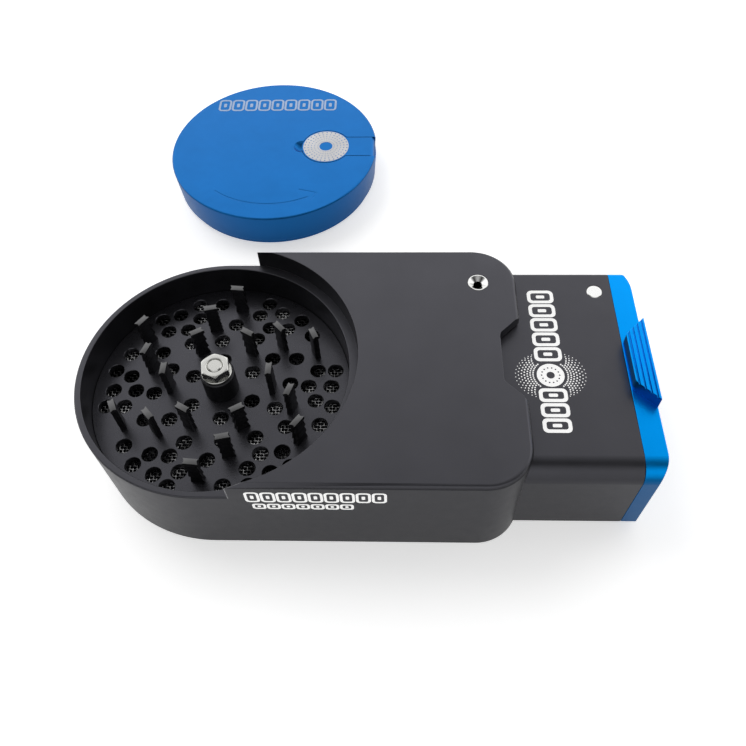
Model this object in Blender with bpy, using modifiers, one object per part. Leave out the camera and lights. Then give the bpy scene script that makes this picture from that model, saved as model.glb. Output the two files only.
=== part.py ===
"""Hand grinder: a bowl with teeth and a drilled floor, a lid with a flip-out crank, and a drawer below.

Metres, +Z up. The origin is on the table, under the bowl's axis. +X points to the drawer's face, and +Y
away from the long side that faces the user. At rest the lid lies on the table behind the housing, on the
tips of its teeth, and the drawer is part way out.
"""

import math

import bmesh
import bpy
from mathutils import Matrix, Vector

MM = 0.001
GAP = 0.3 * MM  # left between neighbouring pieces
OVER = 1.0 * MM  # how far a cutter runs past the face that it cuts

# Housing
RIM_RADIUS = 31.5 * MM  # outside of the bowl, and half the housing's width
BORE_RADIUS = 30.0 * MM
SEAT_RADIUS = 32.2 * MM  # the wall that the seated lid turns inside
RIM_TOP = 22.4 * MM
BLOCK_TOP = 27.8 * MM
BLOCK_END = 68.3 * MM
CORNER_RADIUS = 10.0 * MM
TOP_CHAMFER = 1.0 * MM
LEDGE_TOP = 10.6 * MM  # the sieve ring rests on it
LEDGE_RADIUS = 27.0 * MM

# Tunnel that the drawer slides in
TUNNEL_HALF = 27.1 * MM
TUNNEL_LOW = 0.7 * MM  # inside the recess for the base plate, which closes the tunnel from below
TUNNEL_LOW_TOP = 9.6 * MM  # its roof under the bowl
TUNNEL_TOP = 24.9 * MM  # its roof in the block
TUNNEL_TALL_START = 33.9 * MM
TUNNEL_FILLET = 4.8 * MM
TUNNEL_FAR_FILLET = 1.3 * MM

# Notch in the roof for the thumb pull: a trapezoid that opens at 45 degrees to the block's end
NOTCH_START = 63.5 * MM
NOTCH_HALF = 6.3 * MM
NOTCH_FILLET = 1.5 * MM

# Base plate and its screws
BASE_THICKNESS = 1.4 * MM
BASE_RIM = 0.7 * MM  # of the housing, left around the recess
BASE_SILL = 1.5 * MM  # the same at the drawer's end
BASE_SCREW_SPOTS = [(-28.6, 0), (8, -28.6), (8, 28.6), (55, -28.6), (55, 28.6)]
BASE_SCREW_HEAD = 1.35 * MM
BASE_SCREW_SHANK = 0.6 * MM
BASE_SCREW_TIP = 5.5 * MM

# Grinding plate, with its sieve below
PLATE_TOP = 14.5 * MM
PLATE_THICKNESS = 1.8 * MM
PLATE_RADIUS = BORE_RADIUS - GAP
SCREEN_THICKNESS = 0.3 * MM
SIEVE_RING_THICKNESS = 0.9 * MM
FOLDS = 6  # every ring of holes or teeth has six, evenly spaced
HOLE_RADIUS = 1.8 * MM
HOLE_SIDES = 8
HOLE_RINGS = [
    (8.05, 35), (13.9, 37.5), (15.9, 5), (18.8, 27), (20.2, 2), (22.3, 51.5),
    (22.7, 13), (25.3, 37.5), (25.5, 1.5), (26.4, 49.5), (26.8, 11),
]  # ring radius in mm, angle of its first hole in degrees
TOOTH_RINGS = [(11.9, 0), (17.8, 42), (23.6, 25)]
TOOTH_HEIGHT = 8.4 * MM
TOOTH_LENGTH = 2.9 * MM  # along the ring
TOOTH_WIDTH = 1.35 * MM  # across the ring
TOOTH_ROOT = 0.5 * MM  # sunk in the plate that carries it

# Centre stack
POST_RADIUS = 3.9 * MM
POST_HEIGHT = 6.0 * MM
WASHER_RADIUS = 3.5 * MM
WASHER_THICKNESS = 0.4 * MM
NUT_FLATS = 6.0 * MM
NUT_TURN = 10  # degrees about the axis
NUT_HEIGHT = 2.2 * MM
BOLT_RADIUS = 1.7 * MM
BOLT_HEAD_RADIUS = 3.5 * MM
BOLT_HEAD_LOW = 9.9 * MM
BOLT_CLEARANCE = 2.0 * MM  # radius of the holes that the bolt passes through

# Eyelet in the roof, and the magnet under it when the drawer is shut
EYELET_SPOT = Vector((59.5 * MM, 21.0 * MM, 0))
EYELET_RADIUS = 2.35 * MM
EYELET_MOUTH = 2.1 * MM
EYELET_BORE = 1.2 * MM
EYELET_CONE = 1.3 * MM
MAGNET_RADIUS = 1.85 * MM
MAGNET_THICKNESS = 1.2 * MM

# Drawer, as if shut; the whole drawer then moves out by DRAWER_OUT
DRAWER_OUT = 27.5 * MM
DRAWER_HALF = TUNNEL_HALF - GAP
DRAWER_LOW = BASE_THICKNESS + GAP
TRAY_TOP = TUNNEL_LOW_TOP - GAP
DRAWER_TOP = TUNNEL_TOP - GAP
DRAWER_FILLET = 4.5 * MM  # on the camera's side
DRAWER_FAR_FILLET = 1.0 * MM
TRAY_WALL = 1.4 * MM
TRAY_FLOOR = 3.0 * MM
COVER_THICKNESS = 2.4 * MM
POCKET_HALF = 25.0 * MM
FACE_THICKNESS = 4.9 * MM
FACE_START = BLOCK_END - FACE_THICKNESS
BODY_END = FACE_START - GAP
END_WALL = 2.1 * MM
PULL_GAP = 0.3 * MM
PULL_TOP = 27.7 * MM
GROOVES = 4
GROOVES_START = BLOCK_END - 4.15 * MM
GROOVE_PITCH = 1.08 * MM
GROOVE_WIDTH = 0.35 * MM
GROOVE_DEPTH = 0.4 * MM
FACE_SCREW_Y = 14.0 * MM
FACE_SCREW_Z = 12.0 * MM
FACE_SCREW_SHANK = 1.0 * MM
FACE_SCREW_HEAD = 2.2 * MM
FACE_SCREW_HEAD_HEIGHT = 1.5 * MM
FACE_SCREW_DEPTH = 3.1 * MM  # of its tip in the face

# Lid, lying on the table
LID_CENTRE = Vector((3.35 * MM, 90.0 * MM, 0))
LID_RADIUS = 31.0 * MM
LID_LOW = 2.0 * MM  # the skirt's lower edge: the teeth hold it up
SKIRT_RADIUS = 30.4 * MM  # there
LID_TOP = 11.1 * MM
LID_CHAMFER = 0.5 * MM
LID_PLATE = 3.4 * MM  # thickness of its top
SKIRT_INNER = 28.3 * MM
GUIDE_OUTER = 29.6 * MM
GUIDE_INNER = 28.6 * MM
GUIDE_LOW = 0.3 * MM
GUIDE_TOP = 5.0 * MM
LID_TOOTH_RINGS = [(9.0, 20), (15.0, 10), (20.7, 45), (26.6, 30)]
BOSS_RADIUS = 4.0 * MM
BOSS_LOW = 4.7 * MM
BALL_RADIUS = 2.0 * MM
BALL_HEIGHT = 5.7 * MM
LID_MAGNET_LOW = 8.0 * MM
LID_MAGNET_TOP = 9.3 * MM

# Crank, flush in the lid's top
CRANK_EYE = 15.7 * MM  # from the lid's axis to the middle of the crank's round end
CRANK_EYE_RADIUS = 7.3 * MM
CRANK_HALF = 4.2 * MM
CRANK_THICKNESS = 2.2 * MM
CRANK_PLAY = 0.4 * MM
PIN_REACH = 29.0 * MM  # from the lid's axis to the crank's pin
PIN_DROP = 1.4 * MM  # from the lid's top down to the pin's axis, and the knuckle's radius
PIN_RADIUS = 0.45 * MM
PIN_HOLE = 0.75 * MM
PIN_HALF = 6.2 * MM
SCOOP_RADIUS = 3.2 * MM
SCOOP_DEPTH = 1.3 * MM

ROUND = 64  # sides of a large circle
SMALL_ROUND = 24


def clear_scene():
    for obj in list(bpy.data.objects):
        bpy.data.objects.remove(obj, do_unlink=True)


def new_collection(name):
    made = bpy.data.collections.new(name)
    bpy.context.scene.collection.children.link(made)
    return made


clear_scene()
PARTS = new_collection("hand_grinder")
CUTTERS = new_collection("cutters")


# Materials


def paint(name, colour, roughness, metallic):
    """A Principled material; colour is linear red, green, blue."""
    material = bpy.data.materials.new(name)
    material.use_nodes = True
    shader = material.node_tree.nodes["Principled BSDF"]
    shader.inputs["Base Color"].default_value = (*colour, 1)
    shader.inputs["Roughness"].default_value = roughness
    shader.inputs["Metallic"].default_value = metallic
    return material


BLACK_ANODISED = paint("black_anodised", (0.055, 0.055, 0.062), 0.45, 0.6)
TOOTH_BLACK = paint("tooth_black", (0.045, 0.045, 0.05), 0.5, 0.6)
LID_BLUE = paint("lid_blue", (0.018, 0.19, 0.58), 0.4, 0.7)
DRAWER_BLUE = paint("drawer_blue", (0.0, 0.3, 0.95), 0.35, 0.6)
STEEL = paint("steel", (0.62, 0.62, 0.6), 0.25, 1.0)
NICKEL = paint("nickel", (0.8, 0.79, 0.76), 0.2, 1.0)
MESH_STEEL = paint("mesh_steel", (0.35, 0.35, 0.36), 0.4, 1.0)


# Shapes


def arc(x, y, radius, start, end, steps):
    """Points along an arc about (x, y), from start to end in degrees, both ends included."""
    angles = [math.radians(start + (end - start) * i / steps) for i in range(steps + 1)]
    return [(x + radius * math.cos(a), y + radius * math.sin(a)) for a in angles]


def place(name, bm, group, material=None):
    """Makes the bmesh an object and frees it."""
    bmesh.ops.recalc_face_normals(bm, faces=bm.faces)
    mesh = bpy.data.meshes.new(name)
    bm.to_mesh(mesh)
    bm.free()
    obj = bpy.data.objects.new(name, mesh)
    group.objects.link(obj)
    if material:
        mesh.materials.append(material)
    if group is CUTTERS:
        hide(obj)
    return obj


def hide(obj):
    obj.hide_render = True
    obj.display_type = "WIRE"


def slab(name, outline, low, high, group, material=None, chamfer=0, along_x=False):
    """A flat outline made solid from low to high along Z; chamfer bevels its upper edge.

    With along_x the outline is in Y and Z, and low and high are along X.
    """
    curve = bpy.data.curves.new(name, "CURVE")
    curve.dimensions = "2D"
    curve.fill_mode = "BOTH"
    curve.extrude = (high - low) / 2
    spline = curve.splines.new("POLY")
    spline.points.add(len(outline) - 1)
    for point, (x, y) in zip(spline.points, outline):
        point.co = (x, y, 0, 1)
    spline.use_cyclic_u = True
    guide = bpy.data.objects.new(name + "_outline", curve)
    CUTTERS.objects.link(guide)
    turn = Matrix(((0, 0, 1, 0), (1, 0, 0, 0), (0, 1, 0, 0), (0, 0, 0, 1))) if along_x else Matrix()
    guide.matrix_world = turn @ Matrix.Translation((0, 0, (low + high) / 2))
    bpy.context.view_layer.update()
    graph = bpy.context.evaluated_depsgraph_get()
    filled = bpy.data.meshes.new_from_object(guide.evaluated_get(graph))
    bm = bmesh.new()
    bm.from_mesh(filled)
    bmesh.ops.remove_doubles(bm, verts=bm.verts, dist=1e-6)
    bmesh.ops.dissolve_limit(bm, angle_limit=0.01, verts=bm.verts, edges=bm.edges)
    bmesh.ops.recalc_face_normals(bm, faces=bm.faces)
    if chamfer:
        top = max(v.co.z for v in bm.verts)
        edges = [e for e in bm.edges if all(v.co.z > top - 1e-6 for v in e.verts)]
        bmesh.ops.bevel(bm, geom=edges, offset=chamfer, segments=1, affect="EDGES")
    obj = place(name, bm, group, material)
    obj.matrix_world = guide.matrix_world
    bpy.data.objects.remove(guide)
    return obj


def turned(name, profile, steps, group, material=None, closed=False):
    """A profile of (radius, height) turned about Z. It runs down its outer side."""
    mesh = bpy.data.meshes.new(name)
    edges = [(i, i + 1) for i in range(len(profile) - 1)]
    if closed:
        edges.append((len(profile) - 1, 0))
    mesh.from_pydata([(r, 0, z) for r, z in profile], edges, [])
    obj = bpy.data.objects.new(name, mesh)
    group.objects.link(obj)
    if material:
        mesh.materials.append(material)
    screw = obj.modifiers.new("turn", "SCREW")
    screw.axis = "Z"
    screw.steps = steps
    screw.render_steps = steps
    screw.use_merge_vertices = True
    screw.merge_threshold = 1e-6
    screw.use_smooth_shade = True
    if group is CUTTERS:
        hide(obj)
    return obj


def cylinders(name, radius, low, high, spots, sides, group, material=None):
    """One upright cylinder at each (x, y), all in one mesh."""
    bm = bmesh.new()
    for x, y in spots:
        bmesh.ops.create_cone(
            bm, cap_ends=True, segments=sides, radius1=radius, radius2=radius, depth=high - low,
            matrix=Matrix.Translation((x, y, (low + high) / 2)),
        )
    return place(name, bm, group, material)


def rod(name, radius, start, end, sides, group, material=None):
    """A cylinder from one point to another."""
    start, end = Vector(start), Vector(end)
    turn = (end - start).to_track_quat("Z", "Y").to_matrix().to_4x4()
    bm = bmesh.new()
    bmesh.ops.create_cone(
        bm, cap_ends=True, segments=sides, radius1=radius, radius2=radius,
        depth=(end - start).length, matrix=Matrix.Translation((start + end) / 2) @ turn,
    )
    return place(name, bm, group, material)


def boxes(name, corners, group, material=None, turns=None):
    """One box for each pair of opposite corners, each turned about Z by its own angle in radians."""
    bm = bmesh.new()
    for i, (low, high) in enumerate(corners):
        low, high = Vector(low), Vector(high)
        size = Matrix.Diagonal((*(high - low), 1))
        turn = Matrix.Rotation(turns[i], 4, "Z") if turns else Matrix()
        bmesh.ops.create_cube(bm, size=1, matrix=turn @ Matrix.Translation((low + high) / 2) @ size)
    return place(name, bm, group, material)


def boolean(obj, other, operation):
    """Cuts, joins or keeps the common part; the other object becomes a cutter."""
    modifier = obj.modifiers.new(other.name, "BOOLEAN")
    modifier.operation = operation
    modifier.solver = "EXACT"
    modifier.object = other


def cut(obj, *others):
    for other in others:
        boolean(obj, other, "DIFFERENCE")


def join(obj, *others):
    for other in others:
        boolean(obj, other, "UNION")


def empty(name, spot, parent=None):
    made = bpy.data.objects.new(name, None)
    made.location = spot
    made.parent = parent
    PARTS.objects.link(made)
    return made


# Outlines and patterns


def housing_outline(half, end, corner):
    """A half circle about the origin, straight sides, and two rounded corners at the drawer's end."""
    left = arc(0, 0, half, 90, 270, ROUND // 2)
    near = arc(end - corner, corner - half, corner, -90, 0, SMALL_ROUND // 3)
    far = arc(end - corner, half - corner, corner, 0, 90, SMALL_ROUND // 3)
    return left + near + far


def tray_outline(half, end):
    """A half circle about the origin, then straight sides to a square end."""
    return arc(0, 0, half, 90, 270, ROUND // 2) + [(end, -half), (end, half)]


def drawer_section(half, low, top, near, far):
    """Across the drawer: a square foot, and shoulders rounded by these radii on each side."""
    steps = SMALL_ROUND // 4
    shoulders = arc(half - far, top - far, far, 0, 90, steps)
    shoulders += arc(near - half, top - near, near, 90, 180, steps)
    return [(-half, low), (half, low)] + shoulders


def trapezoid(start, half, fillet, end):
    """Seen from above: a straight edge at start with rounded corners, opening at 45 degrees to end."""
    inset = fillet * math.tan(math.radians(22.5))
    steps = SMALL_ROUND // 6
    reach = half + (end - start)
    near = arc(start + fillet, inset - half, fillet, 180, 225, steps)
    far = arc(start + fillet, half - inset, fillet, 135, 180, steps)
    return near + [(end, -reach), (end, reach)] + far


def ring_angles(first):
    return [math.radians(first + 360 * i / FOLDS) for i in range(FOLDS)]


def ring_spots(rings):
    return [
        (radius * MM * math.cos(a), radius * MM * math.sin(a))
        for radius, first in rings
        for a in ring_angles(first)
    ]


def teeth(name, rings, low, high, group):
    """A tooth at each place of the rings, with its long side along the ring."""
    corners, turns = [], []
    for radius, first in rings:
        for angle in ring_angles(first):
            across, along = TOOTH_WIDTH / 2, TOOTH_LENGTH / 2
            corners.append(((radius * MM - across, -along, low), (radius * MM + across, along, high)))
            turns.append(angle)
    return boxes(name, corners, group, turns=turns)


def hexagon(flats, turn):
    return arc(0, 0, flats / math.sqrt(3), 30 + turn, 330 + turn, 5)


# Housing and base


def make_housing():
    housing = slab(
        "housing", housing_outline(RIM_RADIUS, BLOCK_END, CORNER_RADIUS), 0, BLOCK_TOP,
        PARTS, BLACK_ANODISED, chamfer=TOP_CHAMFER,
    )
    recess = housing_outline(
        RIM_RADIUS - BASE_RIM, BLOCK_END - BASE_SILL, CORNER_RADIUS - BASE_RIM
    )
    section = drawer_section(TUNNEL_HALF, TUNNEL_LOW, TUNNEL_TOP, TUNNEL_FILLET, TUNNEL_FAR_FILLET)
    notch = trapezoid(NOTCH_START, NOTCH_HALF, NOTCH_FILLET, BLOCK_END + OVER)
    axis = [(0, 0)]
    screws = [(x * MM, y * MM) for x, y in BASE_SCREW_SPOTS]
    cut(
        housing,
        cylinders("seat_cut", SEAT_RADIUS, RIM_TOP, BLOCK_TOP + OVER, axis, ROUND, CUTTERS),
        cylinders("bore_cut", BORE_RADIUS, LEDGE_TOP, RIM_TOP + OVER, axis, ROUND, CUTTERS),
        cylinders(
            "ledge_cut", LEDGE_RADIUS, TUNNEL_LOW_TOP - OVER, LEDGE_TOP + OVER, axis, ROUND, CUTTERS
        ),
        slab(
            "low_tunnel_cut", tray_outline(TUNNEL_HALF, TUNNEL_TALL_START + OVER),
            TUNNEL_LOW, TUNNEL_LOW_TOP, CUTTERS,
        ),
        slab(
            "tall_tunnel_cut", section, TUNNEL_TALL_START, BLOCK_END + OVER, CUTTERS, along_x=True
        ),
        slab("base_recess_cut", recess, -OVER, BASE_THICKNESS, CUTTERS),
        slab("notch_cut", notch, TUNNEL_TOP - OVER, BLOCK_TOP + OVER, CUTTERS),
        cylinders(
            "eyelet_cut", EYELET_RADIUS + GAP, TUNNEL_TOP - OVER, BLOCK_TOP + OVER,
            [EYELET_SPOT.xy], SMALL_ROUND, CUTTERS,
        ),
        cylinders(
            "screw_hole_cut", BASE_SCREW_SHANK + GAP, TUNNEL_LOW, BASE_SCREW_TIP + OVER,
            screws, SMALL_ROUND // 2, CUTTERS,
        ),
    )


def make_base():
    outline = housing_outline(
        RIM_RADIUS - BASE_RIM - GAP, BLOCK_END - BASE_SILL - GAP, CORNER_RADIUS - BASE_RIM - GAP
    )
    plate = slab("base_plate", outline, 0, BASE_THICKNESS, PARTS, BLACK_ANODISED)
    shank, head = BASE_SCREW_SHANK, BASE_SCREW_HEAD
    head_low = GAP / 2
    head_high = head_low + head - shank
    for i, (x, y) in enumerate(BASE_SCREW_SPOTS):
        screw = turned(
            f"base_screw_{i + 1}",
            [(0, BASE_SCREW_TIP), (shank, BASE_SCREW_TIP), (shank, head_high), (head, head_low),
             (0, head_low)],
            SMALL_ROUND // 2, PARTS, STEEL,
        )
        hole = turned(
            f"base_screw_cut_{i + 1}",
            [(0, BASE_THICKNESS + OVER), (shank + GAP, BASE_THICKNESS + OVER),
             (shank + GAP, head_high), (head + GAP, head_low), (head + GAP, -OVER), (0, -OVER)],
            SMALL_ROUND // 2, CUTTERS,
        )
        screw.location = hole.location = (x * MM, y * MM, 0)
        cut(plate, hole)


# Bowl


def make_grinding_plate():
    low = PLATE_TOP - PLATE_THICKNESS
    plate = cylinders("grinding_plate", PLATE_RADIUS, low, PLATE_TOP, [(0, 0)], ROUND, PARTS, TOOTH_BLACK)
    join(plate, teeth("tooth_join", TOOTH_RINGS, PLATE_TOP - TOOTH_ROOT, PLATE_TOP + TOOTH_HEIGHT, CUTTERS))
    cut(
        plate,
        cylinders(
            "plate_hole_cut", HOLE_RADIUS, low - OVER, PLATE_TOP + OVER,
            ring_spots(HOLE_RINGS), HOLE_SIDES, CUTTERS,
        ),
        cylinders(
            "plate_bore_cut", BOLT_CLEARANCE, low - OVER, PLATE_TOP + OVER, [(0, 0)], SMALL_ROUND, CUTTERS
        ),
    )
    return low


def ring(name, inner, outer, low, high, material, steps=SMALL_ROUND):
    """A flat ring about the bowl's axis."""
    profile = [(inner, high), (outer, high), (outer, low), (inner, low)]
    return turned(name, profile, steps, PARTS, material, closed=True)


def make_sieve(below):
    """The woven screen, as a plain disc, and the ring that carries it."""
    screen_top = below - GAP
    screen_low = screen_top - SCREEN_THICKNESS
    ring("sieve_screen", BOLT_CLEARANCE, PLATE_RADIUS, screen_low, screen_top, MESH_STEEL, ROUND)
    ring_top = screen_low - GAP
    ring(
        "sieve_ring", LEDGE_RADIUS, PLATE_RADIUS, ring_top - SIEVE_RING_THICKNESS, ring_top,
        BLACK_ANODISED, ROUND,
    )


def make_centre_stack():
    """Post, washer and nut on the bolt, which comes up through the screen and the plate."""
    post_low = PLATE_TOP + GAP
    post_top = post_low + POST_HEIGHT
    washer_low = post_top + GAP
    washer_top = washer_low + WASHER_THICKNESS
    nut_low = washer_top + GAP
    nut_top = nut_low + NUT_HEIGHT
    ring("centre_post", BOLT_CLEARANCE, POST_RADIUS, post_low, post_top, TOOTH_BLACK)
    ring("post_washer", BOLT_CLEARANCE, WASHER_RADIUS, washer_low, washer_top, STEEL)
    nut = slab("hex_nut", hexagon(NUT_FLATS, NUT_TURN), nut_low, nut_top, PARTS, STEEL)
    cut(
        nut,
        cylinders(
            "nut_bore_cut", BOLT_CLEARANCE, nut_low - OVER, nut_top + OVER, [(0, 0)], SMALL_ROUND, CUTTERS
        ),
    )
    head_top = LEDGE_TOP + GAP + SIEVE_RING_THICKNESS
    turned(
        "centre_bolt",
        [(0, nut_top), (BOLT_RADIUS, nut_top), (BOLT_RADIUS, head_top),
         (BOLT_HEAD_RADIUS, head_top), (BOLT_HEAD_RADIUS, BOLT_HEAD_LOW), (0, BOLT_HEAD_LOW)],
        SMALL_ROUND, PARTS, STEEL,
    )


def make_eyelet():
    top, low = BLOCK_TOP, TUNNEL_TOP + GAP
    eyelet = turned(
        "roof_eyelet",
        [(EYELET_MOUTH, top), (EYELET_RADIUS, top), (EYELET_RADIUS, low), (EYELET_BORE, low),
         (EYELET_BORE, top - EYELET_CONE)],
        SMALL_ROUND, PARTS, STEEL, closed=True,
    )
    eyelet.location = EYELET_SPOT


# Drawer


def make_drawer():
    """Built as if shut. The empty that carries it is then moved out along X."""
    drawer = empty("drawer_position", (DRAWER_OUT, 0, 0))
    for obj in (*make_drawer_body(), *make_drawer_face(), *make_face_screws()):
        obj.parent = drawer


def make_drawer_body():
    body = slab(
        "drawer_body",
        drawer_section(DRAWER_HALF, DRAWER_LOW, DRAWER_TOP, DRAWER_FILLET, DRAWER_FAR_FILLET),
        TUNNEL_TALL_START + GAP, BODY_END, PARTS, BLACK_ANODISED, along_x=True,
    )
    inside_end = BODY_END - END_WALL
    tray = slab("tray_join", tray_outline(DRAWER_HALF, BODY_END - OVER), DRAWER_LOW, TRAY_TOP, CUTTERS)
    hollow = slab(
        "tray_cut", tray_outline(DRAWER_HALF - TRAY_WALL, inside_end), TRAY_FLOOR, TRAY_TOP + OVER, CUTTERS
    )
    pocket = boxes(
        "pocket_cut",
        [((TUNNEL_TALL_START - OVER, -POCKET_HALF, TRAY_FLOOR),
          (inside_end, POCKET_HALF, DRAWER_TOP - COVER_THICKNESS))],
        CUTTERS,
    )
    magnet_low = DRAWER_TOP - MAGNET_THICKNESS
    socket = cylinders(
        "magnet_socket_cut", MAGNET_RADIUS + GAP, magnet_low - GAP, DRAWER_TOP + OVER,
        [EYELET_SPOT.xy], SMALL_ROUND, CUTTERS,
    )
    screw_holes = [
        rod(
            f"body_screw_cut_{side}", FACE_SCREW_SHANK + GAP,
            (inside_end - OVER, side * FACE_SCREW_Y, FACE_SCREW_Z),
            (BODY_END + OVER, side * FACE_SCREW_Y, FACE_SCREW_Z), SMALL_ROUND // 2, CUTTERS,
        )
        for side in (-1, 1)
    ]
    join(body, tray)
    cut(body, hollow, pocket, socket, *screw_holes)
    magnet = cylinders(
        "drawer_magnet", MAGNET_RADIUS, magnet_low, DRAWER_TOP, [EYELET_SPOT.xy], SMALL_ROUND,
        PARTS, NICKEL,
    )
    return body, tray, hollow, pocket, socket, *screw_holes, magnet


def make_drawer_face():
    """The end plate, rounded with the housing's corners, and the thumb pull that fills the notch."""
    face = slab(
        "drawer_face",
        drawer_section(DRAWER_HALF, DRAWER_LOW, DRAWER_TOP, DRAWER_FILLET, DRAWER_FAR_FILLET),
        FACE_START, BLOCK_END, PARTS, DRAWER_BLUE, along_x=True,
    )
    rounding = slab(
        "face_rounding", housing_outline(RIM_RADIUS, BLOCK_END, CORNER_RADIUS),
        -OVER, BLOCK_TOP + OVER, CUTTERS,
    )
    boolean(face, rounding, "INTERSECT")
    slope = math.tan(math.radians(22.5))
    pull = slab(
        "pull_join",
        trapezoid(NOTCH_START + PULL_GAP, NOTCH_HALF - slope * PULL_GAP, NOTCH_FILLET - PULL_GAP, BLOCK_END),
        DRAWER_TOP - OVER, PULL_TOP, CUTTERS,
    )
    join(face, pull)
    width = NOTCH_HALF + FACE_THICKNESS + OVER
    starts = [GROOVES_START + i * GROOVE_PITCH for i in range(GROOVES)]
    grooves = boxes(
        "groove_cut",
        [((x, -width, PULL_TOP - GROOVE_DEPTH), (x + GROOVE_WIDTH, width, PULL_TOP + OVER)) for x in starts],
        CUTTERS,
    )
    screw_holes = [
        rod(
            f"face_screw_cut_{side}", FACE_SCREW_SHANK + GAP,
            (FACE_START - OVER, side * FACE_SCREW_Y, FACE_SCREW_Z),
            (FACE_START + FACE_SCREW_DEPTH + GAP, side * FACE_SCREW_Y, FACE_SCREW_Z),
            SMALL_ROUND // 2, CUTTERS,
        )
        for side in (-1, 1)
    ]
    cut(face, grooves, *screw_holes)
    return face, rounding, pull, grooves, *screw_holes


def make_face_screws():
    """Two screws from inside the drawer; their profile's height lies along X."""
    head_high = BODY_END - END_WALL - GAP
    head_low = head_high - FACE_SCREW_HEAD_HEIGHT
    tip = FACE_START + FACE_SCREW_DEPTH
    made = []
    for i, side in enumerate((-1, 1)):
        screw = turned(
            f"face_screw_{i + 1}",
            [(0, tip), (FACE_SCREW_SHANK, tip), (FACE_SCREW_SHANK, head_high),
             (FACE_SCREW_HEAD, head_high), (FACE_SCREW_HEAD, head_low), (0, head_low)],
            SMALL_ROUND // 2, PARTS, STEEL,
        )
        screw.rotation_euler = (0, math.radians(90), 0)
        screw.location = (0, side * FACE_SCREW_Y, FACE_SCREW_Z)
        made.append(screw)
    return made


# Lid


def make_lid():
    """Built about its own axis; the empty on that axis carries it to its place on the table."""
    lid = empty("lid_axis", LID_CENTRE)
    hinge = empty("crank_axis", (PIN_REACH, 0, LID_TOP - PIN_DROP), lid)
    ball = turned(
        "pivot_ball",
        [(r, BALL_HEIGHT + z) for r, z in arc(0, 0, BALL_RADIUS, 90, -90, SMALL_ROUND // 3)],
        SMALL_ROUND, PARTS, STEEL,
    )
    magnet = turned(
        "lid_magnet",
        [(0, LID_MAGNET_TOP), (BALL_RADIUS, LID_MAGNET_TOP), (BALL_RADIUS, LID_MAGNET_LOW),
         (0, LID_MAGNET_LOW)],
        SMALL_ROUND, PARTS, NICKEL,
    )
    guide = ring("guide_ring", GUIDE_INNER, GUIDE_OUTER, GUIDE_LOW, GUIDE_TOP, LID_BLUE, ROUND)
    for obj in (ball, magnet, guide, *make_lid_shell()):
        obj.parent = lid
    for obj in make_crank():
        obj.parent = hinge


def make_lid_shell():
    under = LID_TOP - LID_PLATE
    socket = BALL_RADIUS + GAP
    shell = turned(
        "lid_shell",
        [(0, LID_TOP), (LID_RADIUS - LID_CHAMFER, LID_TOP), (LID_RADIUS, LID_TOP - LID_CHAMFER),
         (SKIRT_RADIUS, LID_LOW), (GUIDE_OUTER + GAP, LID_LOW), (GUIDE_OUTER + GAP, GUIDE_TOP + GAP),
         (SKIRT_INNER, GUIDE_TOP + GAP), (SKIRT_INNER, under), (BOSS_RADIUS, under),
         (BOSS_RADIUS, BOSS_LOW), (socket, BOSS_LOW), (socket, LID_MAGNET_TOP + GAP),
         (0, LID_MAGNET_TOP + GAP)],
        ROUND, PARTS, LID_BLUE,
    )
    made = [
        teeth("lid_tooth_join", LID_TOOTH_RINGS, 0, under + TOOTH_ROOT, CUTTERS),
        slab(
            "crank_recess_cut",
            keyhole(CRANK_EYE_RADIUS + CRANK_PLAY, CRANK_HALF + CRANK_PLAY, LID_RADIUS + OVER),
            LID_TOP - CRANK_THICKNESS - GAP, LID_TOP + OVER, CUTTERS,
        ),
        boxes(
            "knuckle_cut",
            [((PIN_REACH - PIN_DROP - GAP, -CRANK_HALF - CRANK_PLAY, LID_TOP - 2 * PIN_DROP - GAP),
              (LID_RADIUS + OVER, CRANK_HALF + CRANK_PLAY, LID_TOP + OVER))],
            CUTTERS,
        ),
        rod(
            "pin_hole_cut", PIN_HOLE, (PIN_REACH, -PIN_HALF - GAP, LID_TOP - PIN_DROP),
            (PIN_REACH, PIN_HALF + GAP, LID_TOP - PIN_DROP), SMALL_ROUND // 2, CUTTERS,
        ),
        make_scoop(),
    ]
    join(shell, made[0])
    cut(shell, *made[1:])
    return shell, *made


def make_scoop():
    """A finger-nail hollow in the lid's top, beside the crank's round end."""
    bm = bmesh.new()
    bmesh.ops.create_uvsphere(bm, u_segments=SMALL_ROUND, v_segments=SMALL_ROUND // 2, radius=SCOOP_RADIUS)
    scoop = place("scoop_cut", bm, CUTTERS)
    scoop.location = (CRANK_EYE - CRANK_EYE_RADIUS, 0, LID_TOP + SCOOP_RADIUS - SCOOP_DEPTH)
    return scoop


def keyhole(eye_radius, half, end):
    """A round eye about the crank's eye, and a straight bar from it to end."""
    meet = math.degrees(math.asin(half / eye_radius))
    return arc(CRANK_EYE, 0, eye_radius, meet, 360 - meet, SMALL_ROUND) + [(end, -half), (end, half)]


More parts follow.
